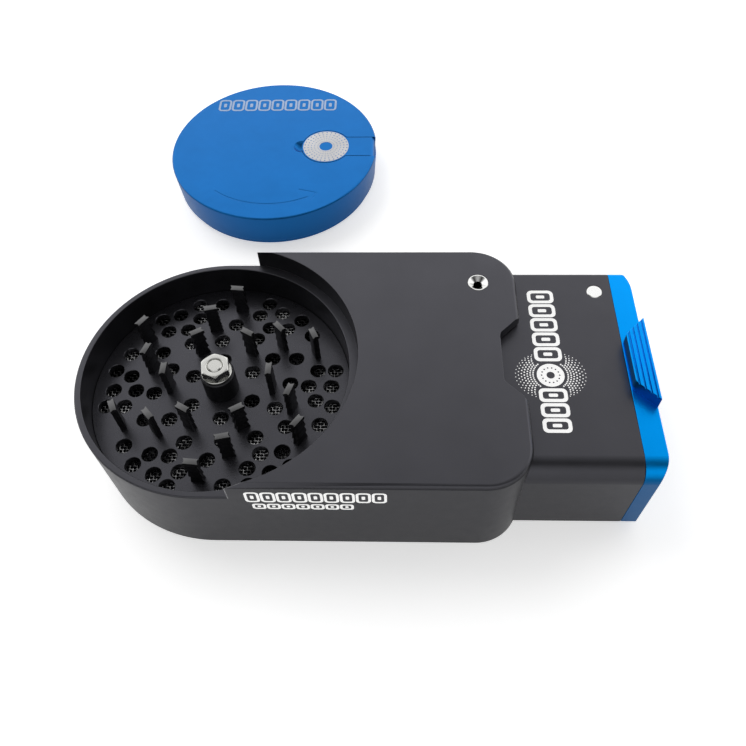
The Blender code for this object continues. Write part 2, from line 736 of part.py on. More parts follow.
def make_crank():
    """The arm and its knuckle, drawn from the pin's axis, and the pin."""
    shift = Matrix.Translation((-PIN_REACH, 0, PIN_DROP - LID_TOP))
    crank = slab(
        "crank", keyhole(CRANK_EYE_RADIUS, CRANK_HALF, PIN_REACH), LID_TOP - CRANK_THICKNESS, LID_TOP,
        PARTS, LID_BLUE,
    )
    crank.matrix_world = shift @ crank.matrix_world
    ends = [(0, -CRANK_HALF, 0), (0, CRANK_HALF, 0)]
    knuckle = rod("knuckle_join", PIN_DROP, *ends, SMALL_ROUND, CUTTERS)
    past = CRANK_HALF + OVER
    bore = rod("crank_bore_cut", PIN_HOLE, (0, -past, 0), (0, past, 0), SMALL_ROUND // 2, CUTTERS)
    join(crank, knuckle)
    cut(crank, bore)
    pin = rod("crank_pin", PIN_RADIUS, (0, -PIN_HALF, 0), (0, PIN_HALF, 0), SMALL_ROUND // 2, PARTS, STEEL)
    return crank, knuckle, bore, pin


def shade():
    """Smooth sides on round pieces, with the corners kept sharp."""
    for obj in PARTS.objects:
        if obj.type == "MESH" and obj.data.polygons:
            obj.data.shade_smooth()
            obj.data.set_sharp_from_angle(angle=math.radians(30))


make_housing()
make_base()
make_sieve(make_grinding_plate())
make_centre_stack()
make_eyelet()
make_drawer()
make_lid()
shade()
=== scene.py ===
"""Looks for the hand grinder: fine surfaces, materials, floor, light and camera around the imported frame.

Metres, +Z up, in the frame of the CAD model: the origin is on the table under the bowl's axis, +X points to
the drawer's face and +Y away from the camera. Heights and outer sizes come from the CAD nodes' boxes.
"""

import math

import bmesh
import bpy
from mathutils import Matrix, Vector


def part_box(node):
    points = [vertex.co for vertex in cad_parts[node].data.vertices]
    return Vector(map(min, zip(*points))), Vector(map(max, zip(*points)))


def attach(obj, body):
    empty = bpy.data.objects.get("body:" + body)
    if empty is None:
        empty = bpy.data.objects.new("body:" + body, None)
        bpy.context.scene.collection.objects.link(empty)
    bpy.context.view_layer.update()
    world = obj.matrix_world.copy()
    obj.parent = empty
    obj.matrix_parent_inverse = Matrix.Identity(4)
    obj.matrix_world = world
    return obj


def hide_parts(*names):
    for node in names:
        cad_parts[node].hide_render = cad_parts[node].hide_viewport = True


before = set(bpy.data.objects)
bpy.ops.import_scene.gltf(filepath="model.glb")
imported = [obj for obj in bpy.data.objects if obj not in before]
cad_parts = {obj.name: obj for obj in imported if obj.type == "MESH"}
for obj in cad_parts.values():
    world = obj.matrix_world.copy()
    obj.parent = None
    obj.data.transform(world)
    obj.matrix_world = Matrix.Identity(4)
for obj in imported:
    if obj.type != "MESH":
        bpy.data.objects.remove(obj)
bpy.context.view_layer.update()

MM = 0.001
OVER = 1.0 * MM  # how far a cutter runs past the face that it cuts
SEAM = 0.05 * MM  # left between neighbouring surfaces
EDGE = 0.12 * MM  # width of an ordinary broken edge

# Housing, from its box
HOUSING_LOW, HOUSING_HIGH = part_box("housing")
RIM_RADIUS = HOUSING_HIGH.y
BLOCK_END = HOUSING_HIGH.x
BLOCK_TOP = HOUSING_HIGH.z
BORE_RADIUS = RIM_RADIUS - 1.5 * MM
SEAT_RADIUS = RIM_RADIUS + 0.7 * MM
RIM_TOP = BLOCK_TOP - 5.4 * MM
CORNER_RADIUS = 10.0 * MM
TOP_CHAMFER = 1.0 * MM
RIM_EDGE = 0.35 * MM
SEAT_EDGE = 0.15 * MM
BORE_EDGE = 0.2 * MM
LEDGE_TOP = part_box("sieve_ring")[0].z - 0.3 * MM
LEDGE_RADIUS = 27.0 * MM

# Tunnel and notch
DRAWER_LOW, DRAWER_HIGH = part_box("drawer_body")
DRAWER_HALF = DRAWER_HIGH.y
DRAWER_TOP = DRAWER_HIGH.z
DRAWER_OUT = 27.5 * MM  # how far the drawer stands out at rest
TUNNEL_PLAY = 0.3 * MM
TUNNEL_HALF = DRAWER_HALF + TUNNEL_PLAY
TUNNEL_LOW = 0.7 * MM
TUNNEL_LOW_TOP = 9.6 * MM
TUNNEL_TOP = DRAWER_TOP + TUNNEL_PLAY
TUNNEL_TALL_START = 33.9 * MM
TUNNEL_FILLET = 4.8 * MM  # on the camera's side
TUNNEL_FAR_FILLET = 1.3 * MM
NOTCH_START = BLOCK_END - 4.8 * MM
NOTCH_HALF = 6.3 * MM
NOTCH_FILLET = 1.5 * MM

# Base plate
BASE_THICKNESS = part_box("base_plate")[1].z
BASE_RIM = 0.7 * MM
BASE_SILL = 1.5 * MM
BASE_SCREWS = 5
SCREW_SHANK = 0.6 * MM
SOCKET_DEPTH = 0.5 * MM

# Bowl
PLATE_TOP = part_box("centre_post")[0].z - 0.3 * MM
PLATE_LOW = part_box("grinding_plate")[0].z
PLATE_RADIUS = BORE_RADIUS - SEAM
TOOTH_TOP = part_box("grinding_plate")[1].z
BOLT_CLEARANCE = 2.0 * MM
FOLDS = 6  # every ring of holes or teeth has six, evenly spaced
HOLE_RADIUS = 1.8 * MM
HOLE_RINGS = [
    (8.05, 35), (13.9, 37.5), (15.9, 5), (18.8, 27), (20.2, 2), (22.3, 51.5),
    (22.7, 13), (25.3, 37.5), (25.5, 1.5), (26.4, 49.5), (26.8, 11),
]  # ring radius in mm, angle of its first hole in degrees
TOOTH_RINGS = [(11.9, 0), (17.8, 42), (23.6, 25)]
LID_TOOTH_RINGS = [(9.0, 20), (15.0, 10), (20.7, 45), (26.6, 30)]
TOOTH_LENGTH = 3.3 * MM  # along the ring
TOOTH_WIDTH = 1.35 * MM  # across the ring
TOOTH_SHEAR = 0.2 * MM  # its outer side is this much further round the ring
TOOTH_VEE = 0.28 * MM  # depth of the groove down each end
TOOTH_NOTCH = 0.42 * MM
TOOTH_CAP = 0.9 * MM  # plain length below the tip
TOOTH_NOTCHES = 3
TOOTH_ROOT = 0.5 * MM
WIRE_PITCH = 0.82 * MM
WIRE_RADIUS = 0.15 * MM
WIRE_SIDES = 6
WIRE_STEPS = 2  # points between neighbouring crossings

# Centre stack
POST_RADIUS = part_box("centre_post")[1].x
POST_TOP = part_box("centre_post")[1].z
WASHER_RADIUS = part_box("post_washer")[1].x
WASHER_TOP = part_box("post_washer")[1].z
NUT_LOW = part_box("hex_nut")[0].z
NUT_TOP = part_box("hex_nut")[1].z
NUT_TURN = 10  # degrees about the axis
NUT_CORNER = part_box("hex_nut")[1].x / math.cos(math.radians(30 - NUT_TURN))  # out to a corner
NUT_FLATS = NUT_CORNER * math.sqrt(3)
BOLT_RADIUS = 1.7 * MM
BOLT_HEAD_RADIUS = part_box("centre_bolt")[1].x
BOLT_HEAD_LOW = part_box("centre_bolt")[0].z
BOLT_HEAD_TOP = LEDGE_TOP + 1.2 * MM

# Eyelet in the roof
EYELET_LOW, EYELET_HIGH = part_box("roof_eyelet")
EYELET_RADIUS = (EYELET_HIGH.x - EYELET_LOW.x) / 2
EYELET_SPOT = (EYELET_LOW + EYELET_HIGH) / 2
EYELET_BORE = 1.0 * MM
EYELET_LIP = 0.25 * MM
EYELET_CONE = 0.85 * MM

# Drawer and its face
TRAY_TOP = TUNNEL_LOW_TOP - TUNNEL_PLAY
DRAWER_FILLET = 4.5 * MM
DRAWER_FAR_FILLET = 1.0 * MM
TRAY_WALL = 1.4 * MM
TRAY_FLOOR = 3.0 * MM
COVER_THICKNESS = 2.4 * MM
POCKET_HALF = 25.0 * MM
END_WALL = 2.1 * MM
FACE_LOW, FACE_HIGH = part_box("drawer_face")
FACE_START = FACE_LOW.x
FACE_END = FACE_HIGH.x
PULL_TOP = FACE_HIGH.z
PULL_GAP = 0.15 * MM
PULL_EDGE = 0.07 * MM
GROOVES = 4
GROOVES_START = FACE_END - 3.97 * MM  # middle of the first groove
GROOVE_PITCH = 1.08 * MM
GROOVE_WIDTH = 0.42 * MM
GROOVE_DEPTH = 0.35 * MM
MAGNET_LOW, MAGNET_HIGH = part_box("drawer_magnet")
MAGNET_RADIUS = (MAGNET_HIGH.x - MAGNET_LOW.x) / 2
MAGNET_SPOT = (MAGNET_LOW + MAGNET_HIGH) / 2

# Lid and crank
LID_LOW, LID_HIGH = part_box("lid_shell")
GUIDE_BOX_LOW, GUIDE_BOX_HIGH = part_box("guide_ring")
LID_CENTRE = (GUIDE_BOX_LOW + GUIDE_BOX_HIGH) / 2 * Vector((1, 1, 0))
LID_RADIUS = (LID_HIGH.y - LID_LOW.y) / 2
LID_TOP = LID_HIGH.z
SKIRT_LOW = 2.0 * MM
SKIRT_RADIUS = LID_RADIUS - 0.6 * MM  # at its lower edge
LID_CHAMFER = 0.4 * MM
LID_PLATE = 3.4 * MM
SKIRT_INNER = 28.3 * MM
GUIDE_LOW = GUIDE_BOX_LOW.z
GUIDE_TOP = GUIDE_BOX_HIGH.z
GUIDE_OUTER = 29.6 * MM
GUIDE_INNER = 28.6 * MM
BOSS_RADIUS = 4.0 * MM
BOSS_LOW = 4.7 * MM
BALL_LOW, BALL_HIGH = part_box("pivot_ball")
BALL_RADIUS = (BALL_HIGH.z - BALL_LOW.z) / 2
LID_MAGNET_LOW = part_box("lid_magnet")[0].z
LID_MAGNET_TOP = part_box("lid_magnet")[1].z
CRANK_EYE_RADIUS = 7.3 * MM
CRANK_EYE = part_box("crank")[0].x - LID_CENTRE.x + CRANK_EYE_RADIUS  # how far the round end's middle lies
CRANK_HALF = 4.2 * MM
CRANK_THICKNESS = 2.2 * MM
CRANK_PLAY = 0.13 * MM
PIN_REACH = 29.0 * MM
PIN_DROP = 1.4 * MM
PIN_RADIUS = 0.45 * MM
PIN_HOLE = 0.75 * MM
PIN_HALF = 6.2 * MM
SCOOP_RADIUS = 3.2 * MM
SCOOP_DEPTH = 1.3 * MM
INLAY_OUTER = 6.9 * MM
INLAY_INNER = 2.0 * MM
INLAY_RAISE = 0.04 * MM
INLAY_RINGS = 5
INLAY_RAYS = 30
INLAY_DOT = 0.17 * MM
ARROW_RADIUS = 24.9 * MM
ARROW_WIDTH = 0.45 * MM
ARROW_DEPTH = 0.08 * MM

# Printed marks. A row is its start, pitch, number of blocks, low and high edge, and stroke
PRINT_THICKNESS = 0.04 * MM
LID_ROW = (-19.6 * MM, 4.2 * MM, 9, 17.3 * MM, 22.9 * MM, 0.62 * MM)
WALL_TOP_ROW = (10.2 * MM, 3.2 * MM, 9, 20.7 * MM, 25.2 * MM, 0.55 * MM)
WALL_LOW_ROW = (11.2 * MM, 3.0 * MM, 7, 17.4 * MM, 19.9 * MM, 0.52 * MM)
DRAWER_ACROSS = (71.1 * MM, 77.2 * MM)
DRAWER_FAR_ROW = (0.9 * MM, 4.12 * MM, 5, *DRAWER_ACROSS, 0.8 * MM)
DRAWER_NEAR_ROW = (-17.2 * MM, 3.75 * MM, 3, *DRAWER_ACROSS, 0.8 * MM)
MOTIF_Y = -2.8 * MM
MOTIF_OUTER = 3.0 * MM
MOTIF_INNER = 0.9 * MM
MOTIF_DOTS = 14
MOTIF_DOT = 0.2 * MM
TICK_RAYS = 48
TICK_RINGS = 7
TICK_START = 3.8 * MM
TICK_REACH_X = 7.6 * MM
TICK_REACH_Y = 6.1 * MM
TICK_CLEAR = (3.4 * MM, 3.0 * MM)  # no ticks over the rows: nearer than the first, further than the second

ROUND = 192  # sides of a large circle
MIDDLE = 64
SMALL = 32

# Colours, linear red, green, blue
BLACK_COLOUR = (0.086, 0.086, 0.098)
TOOTH_COLOUR = (0.045, 0.045, 0.05)
TIP_COLOUR = (0.15, 0.15, 0.153)
LID_COLOUR = (0.013, 0.168, 0.51)
FACE_COLOUR = (0.0, 0.35, 1.0)
STEEL_COLOUR = (0.72, 0.72, 0.69)
NICKEL_COLOUR = (0.88, 0.88, 0.87)
MESH_COLOUR = (0.55, 0.55, 0.56)
PAINT_COLOUR = (0.93, 0.93, 0.92)

# Light
PAINT_GLOW = 0.25  # keeps the white print bright on the walls turned from the light
BAND_LIGHT = 1.22
OVERHEAD_LIGHT = 0.50
ROOM_LIGHT = 0.05
FRONT_LIGHT = 0.7  # low down on the camera's side
FLOOR_GLOW = 0.36
FLOOR_LIFT = 0.18  # added for the camera alone


# Materials


class Graph:
    """The node tree of one new material, with the shader at its end."""

    def __init__(self, name):
        self.material = bpy.data.materials.new(name)
        self.material.use_nodes = True
        self.tree = self.material.node_tree
        self.shader = self.tree.nodes["Principled BSDF"]
        self.place = self.add("ShaderNodeTexCoord").outputs["Object"]

    def add(self, kind, **settings):
        node = self.tree.nodes.new(kind)
        for key, value in settings.items():
            setattr(node, key, value)
        return node

    def link(self, source, target):
        self.tree.links.new(source, target)

    def math(self, operation, first, second, third=None):
        node = self.add("ShaderNodeMath", operation=operation)
        for socket, value in zip(node.inputs, (first, second, third)):
            if isinstance(value, bpy.types.NodeSocket):
                self.link(value, socket)
            elif value is not None:
                socket.default_value = value
        return node.outputs[0]

    def fade(self, value, low, high):
        """Rises smoothly from 0 at low to 1 at high."""
        node = self.add("ShaderNodeMapRange", interpolation_type="SMOOTHSTEP")
        self.link(value, node.inputs["Value"])
        node.inputs["From Min"].default_value = low
        node.inputs["From Max"].default_value = high
        return node.outputs["Result"]

    def noise(self, size, detail=2.0, place=None):
        """Noise with features about this many metres wide; its mean is a half."""
        node = self.add("ShaderNodeTexNoise")
        node.inputs["Scale"].default_value = 1 / size
        node.inputs["Detail"].default_value = detail
        self.link(place or self.place, node.inputs["Vector"])
        return node.outputs["Fac"]

    def stretch(self, factors):
        node = self.add("ShaderNodeMapping")
        node.inputs["Scale"].default_value = factors
        self.link(self.place, node.inputs["Vector"])
        return node.outputs["Vector"]

    def turned_place(self, centre):
        """A place that depends only on the distance from an upright axis and on the height."""
        shift = self.add("ShaderNodeVectorMath", operation="SUBTRACT")
        shift.inputs[1].default_value = (centre.x, centre.y, 0)
        self.link(self.place, shift.inputs[0])
        flat_place = self.add("ShaderNodeVectorMath", operation="MULTIPLY")
        flat_place.inputs[1].default_value = (1, 1, 0)
        self.link(shift.outputs[0], flat_place.inputs[0])
        length = self.add("ShaderNodeVectorMath", operation="LENGTH")
        self.link(flat_place.outputs[0], length.inputs[0])
        joined = self.add("ShaderNodeCombineXYZ")
        self.link(length.outputs["Value"], joined.inputs["X"])
        return joined.outputs[0]

    def bump(self, height, depth, under=None):
        node = self.add("ShaderNodeBump")
        node.inputs["Distance"].default_value = depth
        self.link(height, node.inputs["Height"])
        if under is not None:
            self.link(under, node.inputs["Normal"])
        return node.outputs["Normal"]

    def edges(self, width):
        """About 1 where the surface turns sharply within this width, and 0 on flat ground."""
        soft = self.add("ShaderNodeBevel", samples=4)
        soft.inputs["Radius"].default_value = width
        dot = self.add("ShaderNodeVectorMath", operation="DOT_PRODUCT")
        self.link(soft.outputs["Normal"], dot.inputs[0])
        self.link(self.add("ShaderNodeNewGeometry").outputs["Normal"], dot.inputs[1])
        return self.math("MULTIPLY_ADD", dot.outputs["Value"], -6.0, 5.9)

    def mix(self, share, first, second):
        node = self.add("ShaderNodeMix", data_type="RGBA")
        node.clamp_factor = True
        if isinstance(share, bpy.types.NodeSocket):
            self.link(share, node.inputs["Factor"])
        else:
            node.inputs["Factor"].default_value = share
        for socket, value in ((node.inputs["A"], first), (node.inputs["B"], second)):
            if isinstance(value, bpy.types.NodeSocket):
                self.link(value, socket)
            else:
                socket.default_value = (*value, 1)
        return node.outputs["Result"]


def scaled(colour, factor):
    return tuple(min(1.0, c * factor) for c in colour)


def finish_material(
    name, colour, roughness, metallic, grain=0.16 * MM, grain_depth=0.004 * MM,
    mottle=0.08, wear_and_highlight=0.0, wear_and_highlight_colour=(0.5, 0.5, 0.5), lines=None, lines_depth=0.003 * MM,
    patches=0.0, side=1.0,
):
    """A surface with fine grain, broad mottling, lighter edges that are partly wear and partly a painted
    highlight and, where given, machining lines.

    lines is the centre of turned rings, or the factors that stretch the grain into brushing. patches
    is the size of strongly darker areas. side scales the colour of upright walls, as painted shade.
    """
    graph = Graph(name)
    fine = graph.noise(grain, 3.0)
    broad = graph.noise(9 * MM, 2.0)
    smudge = graph.noise(2.2 * MM, 4.0)
    if patches:
        broad = graph.fade(graph.noise(patches, 1.0), 0.40, 0.60)
    tint = graph.mix(broad, scaled(colour, 1 - mottle), scaled(colour, 1 + mottle))
    # Painted shade: where the surface stands upright the colour is scaled by side, so walls come out darker
    # than tops.
    if side != 1.0:
        facing = graph.add("ShaderNodeSeparateXYZ")
        graph.link(graph.add("ShaderNodeNewGeometry").outputs["Normal"], facing.inputs[0])
        upright = graph.fade(facing.outputs["Z"], 0.75, 0.35)
        tint = graph.mix(upright, tint, scaled(colour, side))
    rough = graph.math("MULTIPLY_ADD", fine, 0.16, roughness - 0.08)
    rough = graph.math("MULTIPLY_ADD", smudge, 0.10, graph.math("SUBTRACT", rough, 0.05))
    normal = graph.bump(fine, grain_depth)
    if lines is not None:
        turned_lines = isinstance(lines, Vector) and len(lines) == 3
        place = graph.turned_place(lines) if turned_lines else graph.stretch(lines)
        streaks = graph.noise(0.22 * MM, 3.0, place)
        normal = graph.bump(streaks, lines_depth, normal)
        rough = graph.math("MULTIPLY_ADD", streaks, 0.12, graph.math("SUBTRACT", rough, 0.06))
    # Lighter edges: partly wear, partly a painted highlight where the edges would catch the light.
    if wear_and_highlight:
        worn_and_highlit_edges = graph.math("MULTIPLY", graph.edges(0.22 * MM), graph.noise(0.7 * MM, 4.0))
        tint = graph.mix(graph.math("MULTIPLY", worn_and_highlit_edges, wear_and_highlight), tint, wear_and_highlight_colour)
    graph.link(tint, graph.shader.inputs["Base Color"])
    graph.link(rough, graph.shader.inputs["Roughness"])
    graph.link(normal, graph.shader.inputs["Normal"])
    graph.shader.inputs["Metallic"].default_value = metallic
    return graph.material


BOWL_AXIS = Vector((0, 0, 0))
EYE_AXIS = LID_CENTRE + Vector((CRANK_EYE, 0, 0))
ALONG_X = (0.02, 1.0, 1.0)

# side on these finishes darkens the upright walls as painted shade.
BLACK = finish_material(
    "black_anodised", BLACK_COLOUR, 0.38, 0.88, wear_and_highlight=0.5, wear_and_highlight_colour=(0.30, 0.30, 0.31), side=0.52
)
DRAWER_BLACK = finish_material(
    "drawer_anodised", scaled(BLACK_COLOUR, 0.9), 0.36, 0.88, wear_and_highlight=0.8,
    wear_and_highlight_colour=(0.32, 0.32, 0.33), lines=ALONG_X, lines_depth=0.0015 * MM, side=0.6,
)
PLATE_BLACK = finish_material(
    "plate_anodised", BLACK_COLOUR, 0.30, 0.88, wear_and_highlight=0.6, wear_and_highlight_colour=(0.2, 0.2, 0.21),
    lines=BOWL_AXIS, lines_depth=0.0015 * MM,
)
TOOTH_BLACK = finish_material(
    "tooth_anodised", TOOTH_COLOUR, 0.45, 0.88, wear_and_highlight=0.4, wear_and_highlight_colour=(0.12, 0.12, 0.125)
)
TIP_GREY = finish_material(
    "tooth_tip_machined", TIP_COLOUR, 0.42, 1.0, mottle=0.2, lines=BOWL_AXIS,
    lines_depth=0.004 * MM,
)
LID_BLUE = finish_material(
    "lid_blue_anodised", LID_COLOUR, 0.40, 1.0, wear_and_highlight=0.4, wear_and_highlight_colour=(0.12, 0.35, 0.75),
    side=0.62,
)
FACE_BLUE = finish_material(
    "face_blue_anodised", FACE_COLOUR, 0.36, 1.0, mottle=0.04, wear_and_highlight=0.35,
    wear_and_highlight_colour=(0.15, 0.5, 1.0), lines=(1.0, 0.02, 1.0), lines_depth=0.0012 * MM, side=0.26,
)
PULL_BLUE = finish_material(
    "pull_blue_anodised", FACE_COLOUR, 0.36, 1.0, mottle=0.04, wear_and_highlight=0.35,
    wear_and_highlight_colour=(0.15, 0.5, 1.0), side=0.8,
)
STEEL = finish_material(
    "polished_steel", STEEL_COLOUR, 0.24, 1.0, grain_depth=0.001 * MM, mottle=0.05,
    lines=BOWL_AXIS, lines_depth=0.002 * MM,
)
NICKEL = finish_material(
    "plated_magnet", NICKEL_COLOUR, 0.22, 1.0, grain_depth=0.001 * MM, mottle=0.03
)
EYELET_STEEL = finish_material(
    "eyelet_steel", NICKEL_COLOUR, 0.15, 1.0, grain_depth=0.0008 * MM, mottle=0.04,
    lines=Vector((EYELET_SPOT.x, EYELET_SPOT.y, 0)), lines_depth=0.001 * MM,
)
MESH_STEEL = finish_material(
    "woven_steel", MESH_COLOUR, 0.12, 1.0, grain=0.08 * MM, grain_depth=0.0005 * MM, mottle=0.9,
    patches=7 * MM,
)
INLAY_SILVER = finish_material(
    "marked_silver", (0.55, 0.55, 0.56), 0.38, 1.0, grain=0.35 * MM, grain_depth=0.02 * MM,
    mottle=0.2, lines=EYE_AXIS, lines_depth=0.004 * MM,
)
WHITE_PAINT = finish_material(
    "white_paint", PAINT_COLOUR, 0.55, 0.0, grain=0.12 * MM, grain_depth=0.006 * MM, mottle=0.06
)
PAINT_INPUTS = WHITE_PAINT.node_tree.nodes["Principled BSDF"].inputs
PAINT_INPUTS["Emission Color"].default_value = (1, 1, 1, 1)
PAINT_INPUTS["Emission Strength"].default_value = PAINT_GLOW
LASER_GREY = finish_material(
    "laser_mark", (0.42, 0.53, 0.74), 0.5, 0.0, grain=0.12 * MM, grain_depth=0.006 * MM,
    mottle=0.15,
)


# Shapes


def arc(x, y, radius, start, end, steps):
    """Points along an arc about (x, y), from start to end in degrees, both ends included."""
    angles = [math.radians(start + (end - start) * i / steps) for i in range(steps + 1)]
    return [(x + radius * math.cos(a), y + radius * math.sin(a)) for a in angles]


def circle(x, y, radius, sides, hole=False):
    points = arc(x, y, radius, 0, 360, sides)[:-1]
    return points[::-1] if hole else points


def bake(obj):
    """Applies the modifiers and the object's own place to its mesh."""
    bpy.context.view_layer.update()
    graph = bpy.context.evaluated_depsgraph_get()
    mesh = bpy.data.meshes.new_from_object(obj.evaluated_get(graph))
    mesh.transform(obj.matrix_world)
    obj.modifiers.clear()
    obj.data = mesh
    obj.matrix_world = Matrix()
    return obj


def new_object(name, data):
    obj = bpy.data.objects.new(name, data)
    bpy.context.scene.collection.objects.link(obj)
    return obj


def from_bmesh(name, bm, *materials):
    bmesh.ops.recalc_face_normals(bm, faces=bm.faces)
    mesh = bpy.data.meshes.new(name)
    bm.to_mesh(mesh)
    bm.free()
    for material in materials:
        mesh.materials.append(material)
    return new_object(name, mesh)


TURNS = {
    "Z": Matrix(),
    "X": Matrix(((0, 0, 1, 0), (1, 0, 0, 0), (0, 1, 0, 0), (0, 0, 0, 1))),
    "Y": Matrix(((1, 0, 0, 0), (0, 0, -1, 0), (0, 1, 0, 0), (0, 0, 0, 1))),
}


def flat(name, outlines, low, high, material=None, bevel=0.0, along="Z"):
    """Closed outlines filled and made solid from low to high; an outline inside another is a hole.

    Along X the outlines are in Y and Z; along Y they are in X and Z. bevel rounds both rims.
    """
    curve = bpy.data.curves.new(name, "CURVE")
    curve.dimensions = "2D"
    curve.fill_mode = "BOTH"
    curve.extrude = (high - low) / 2 - bevel
    curve.bevel_depth = bevel
    curve.bevel_resolution = 0
    curve.offset = -bevel
    for outline in outlines:
        spline = curve.splines.new("POLY")
        spline.points.add(len(outline) - 1)
        for point, (x, y) in zip(spline.points, outline):
            point.co = (x, y, 0, 1)
        spline.use_cyclic_u = True
    guide = new_object(name + "_outline", curve)
    middle = (low + high) / 2
    guide.matrix_world = TURNS[along] @ Matrix.Translation((0, 0, -middle if along == "Y" else middle))
    bpy.context.view_layer.update()
    graph = bpy.context.evaluated_depsgraph_get()
    mesh = bpy.data.meshes.new_from_object(guide.evaluated_get(graph))
    mesh.transform(guide.matrix_world)
    bpy.data.objects.remove(guide)
    bm = bmesh.new()
    bm.from_mesh(mesh)
    bmesh.ops.remove_doubles(bm, verts=bm.verts, dist=0.0005 * MM)
    if material:
        return from_bmesh(name, bm, material)
    return from_bmesh(name, bm)


def chamfered(name, outline, low, high, chamfer, material=None):
    """A flat outline made solid along Z, with a chamfer round its upper rim."""
    obj = flat(name, [outline], low, high, material)
    bm = bmesh.new()
    bm.from_mesh(obj.data)
    bmesh.ops.dissolve_limit(bm, angle_limit=0.01, verts=bm.verts, edges=bm.edges)
    rim = [e for e in bm.edges if all(v.co.z > high - 0.001 * MM for v in e.verts)]
    bmesh.ops.bevel(bm, geom=rim, offset=chamfer, segments=1, affect="EDGES")
    bmesh.ops.recalc_face_normals(bm, faces=bm.faces)
    bm.to_mesh(obj.data)
    bm.free()
    return obj


def turned(name, profile, sides, material=None, centre=(0, 0, 0), closed=False):
    """A profile of (radius, height) turned about an upright axis. It runs down its outer side."""
    mesh = bpy.data.meshes.new(name)
    edges = [(i, i + 1) for i in range(len(profile) - 1)]
    if closed:
        edges.append((len(profile) - 1, 0))
    mesh.from_pydata([(r, 0, z) for r, z in profile], edges, [])
    if material:
        mesh.materials.append(material)
    obj = new_object(name, mesh)
    obj.location = centre
    screw = obj.modifiers.new("turn", "SCREW")
    screw.axis = "Z"
    screw.steps = sides
    screw.render_steps = sides
    screw.use_merge_vertices = True
    screw.merge_threshold = 0.001 * MM
    return bake(obj)


def rod(name, radius, start, end, sides, material=None):
    """A cylinder from one point to another."""
    start, end = Vector(start), Vector(end)
    turn = (end - start).to_track_quat("Z", "Y").to_matrix().to_4x4()
    bm = bmesh.new()
    bmesh.ops.create_cone(
        bm, cap_ends=True, segments=sides, radius1=radius, radius2=radius,
        depth=(end - start).length, matrix=Matrix.Translation((start + end) / 2) @ turn,
    )
    return from_bmesh(name, bm, *([material] if material else []))


def block(name, low, high, material=None):
    low, high = Vector(low), Vector(high)
    bm = bmesh.new()
    size = Matrix.Diagonal((*(high - low), 1))
    bmesh.ops.create_cube(bm, size=1, matrix=Matrix.Translation((low + high) / 2) @ size)
    return from_bmesh(name, bm, *([material] if material else []))


def combine(obj, operation, *others):
    """Cuts, joins or keeps the common part, then removes the others."""
    for other in others:
        modifier = obj.modifiers.new(other.name, "BOOLEAN")
        modifier.operation = operation
        modifier.solver = "EXACT"
        modifier.object = other
    bake(obj)
    for other in others:
        bpy.data.objects.remove(other)
    return obj


def shade(obj, angle=30):
    obj.data.shade_smooth()
    obj.data.set_sharp_from_angle(angle=math.radians(angle))
    return obj


def soften(obj, width=EDGE, pick=None, segments=2):
    """Rounds the sharp edges, or only those whose end points pick(x, y, z) accepts."""
    bm = bmesh.new()
    bm.from_mesh(obj.data)
    bmesh.ops.remove_doubles(bm, verts=bm.verts, dist=0.004 * MM)
    bmesh.ops.dissolve_limit(bm, angle_limit=math.radians(0.2), verts=bm.verts, edges=bm.edges)
    weight = bm.edges.layers.float.new("bevel_weight_edge")
    for edge in bm.edges:
        if edge.is_manifold and edge.calc_face_angle(0) > math.radians(50):
            if pick is None or all(pick(*v.co) for v in edge.verts):
                edge[weight] = 1.0
    bm.to_mesh(obj.data)
    bm.free()
    bevel = obj.modifiers.new("edges", "BEVEL")
    bevel.limit_method = "WEIGHT"
    bevel.width = width
    bevel.segments = segments
    bevel.use_clamp_overlap = False
    obj.data.shade_smooth()
    bake(obj)
    obj.data.set_sharp_from_angle(angle=math.radians(50))
    weighted = obj.modifiers.new("normals", "WEIGHTED_NORMAL")
    weighted.keep_sharp = True
    return bake(obj)


def settle(obj, body, slot, *nodes):
    """Rides on a body and stands for CAD nodes, which it hides. slot is not used."""
    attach(obj, body)
    if nodes:
        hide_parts(*nodes)
    return obj


# Outlines and patterns


def housing_outline(half, end, corner):
    """A half circle about the origin, straight sides, and two rounded corners at the drawer's end."""
    left = arc(0, 0, half, 90, 270, ROUND // 2)
    near = arc(end - corner, corner - half, corner, -90, 0, SMALL)
    far = arc(end - corner, half - corner, corner, 0, 90, SMALL)
    return left + near + far


def tray_outline(half, end, middle=0.0):
    """A half circle about (middle, 0), then straight sides to a square end."""
    return arc(middle, 0, half, 90, 270, ROUND // 2) + [(end, -half), (end, half)]


def drawer_section(half, low, top, near, far):
    """Across the drawer: a square foot, and shoulders rounded by these radii on each side."""
    steps = SMALL // 2
    shoulders = arc(half - far, top - far, far, 0, 90, steps)
    shoulders += arc(near - half, top - near, near, 90, 180, steps)
    return [(-half, low), (half, low)] + shoulders


def trapezoid(start, half, fillet, end):
    """Seen from above: a straight edge at start with rounded corners, opening at 45 degrees to end."""
    inset = fillet * math.tan(math.radians(22.5))
    steps = SMALL // 4
    reach = half + (end - start)
    near = arc(start + fillet, inset - half, fillet, 180, 225, steps)
    far = arc(start + fillet, half - inset, fillet, 135, 180, steps)
    return near + [(end, -reach), (end, reach)] + far


def ring_spots(rings):
    """(x, y, angle) of each of the six places on every ring."""
    spots = []
    for radius, first in rings:
        for fold in range(FOLDS):
            angle = math.radians(first + 360 * fold / FOLDS)
            spots.append((radius * MM * math.cos(angle), radius * MM * math.sin(angle), angle))
    return spots


def keyhole(eye_radius, half, end):
    """A round eye about the crank's eye, and a straight bar from it to end, from the lid's axis."""
    meet = math.degrees(math.asin(half / eye_radius))
    return arc(CRANK_EYE, 0, eye_radius, meet, 360 - meet, MIDDLE) + [(end, -half), (end, half)]


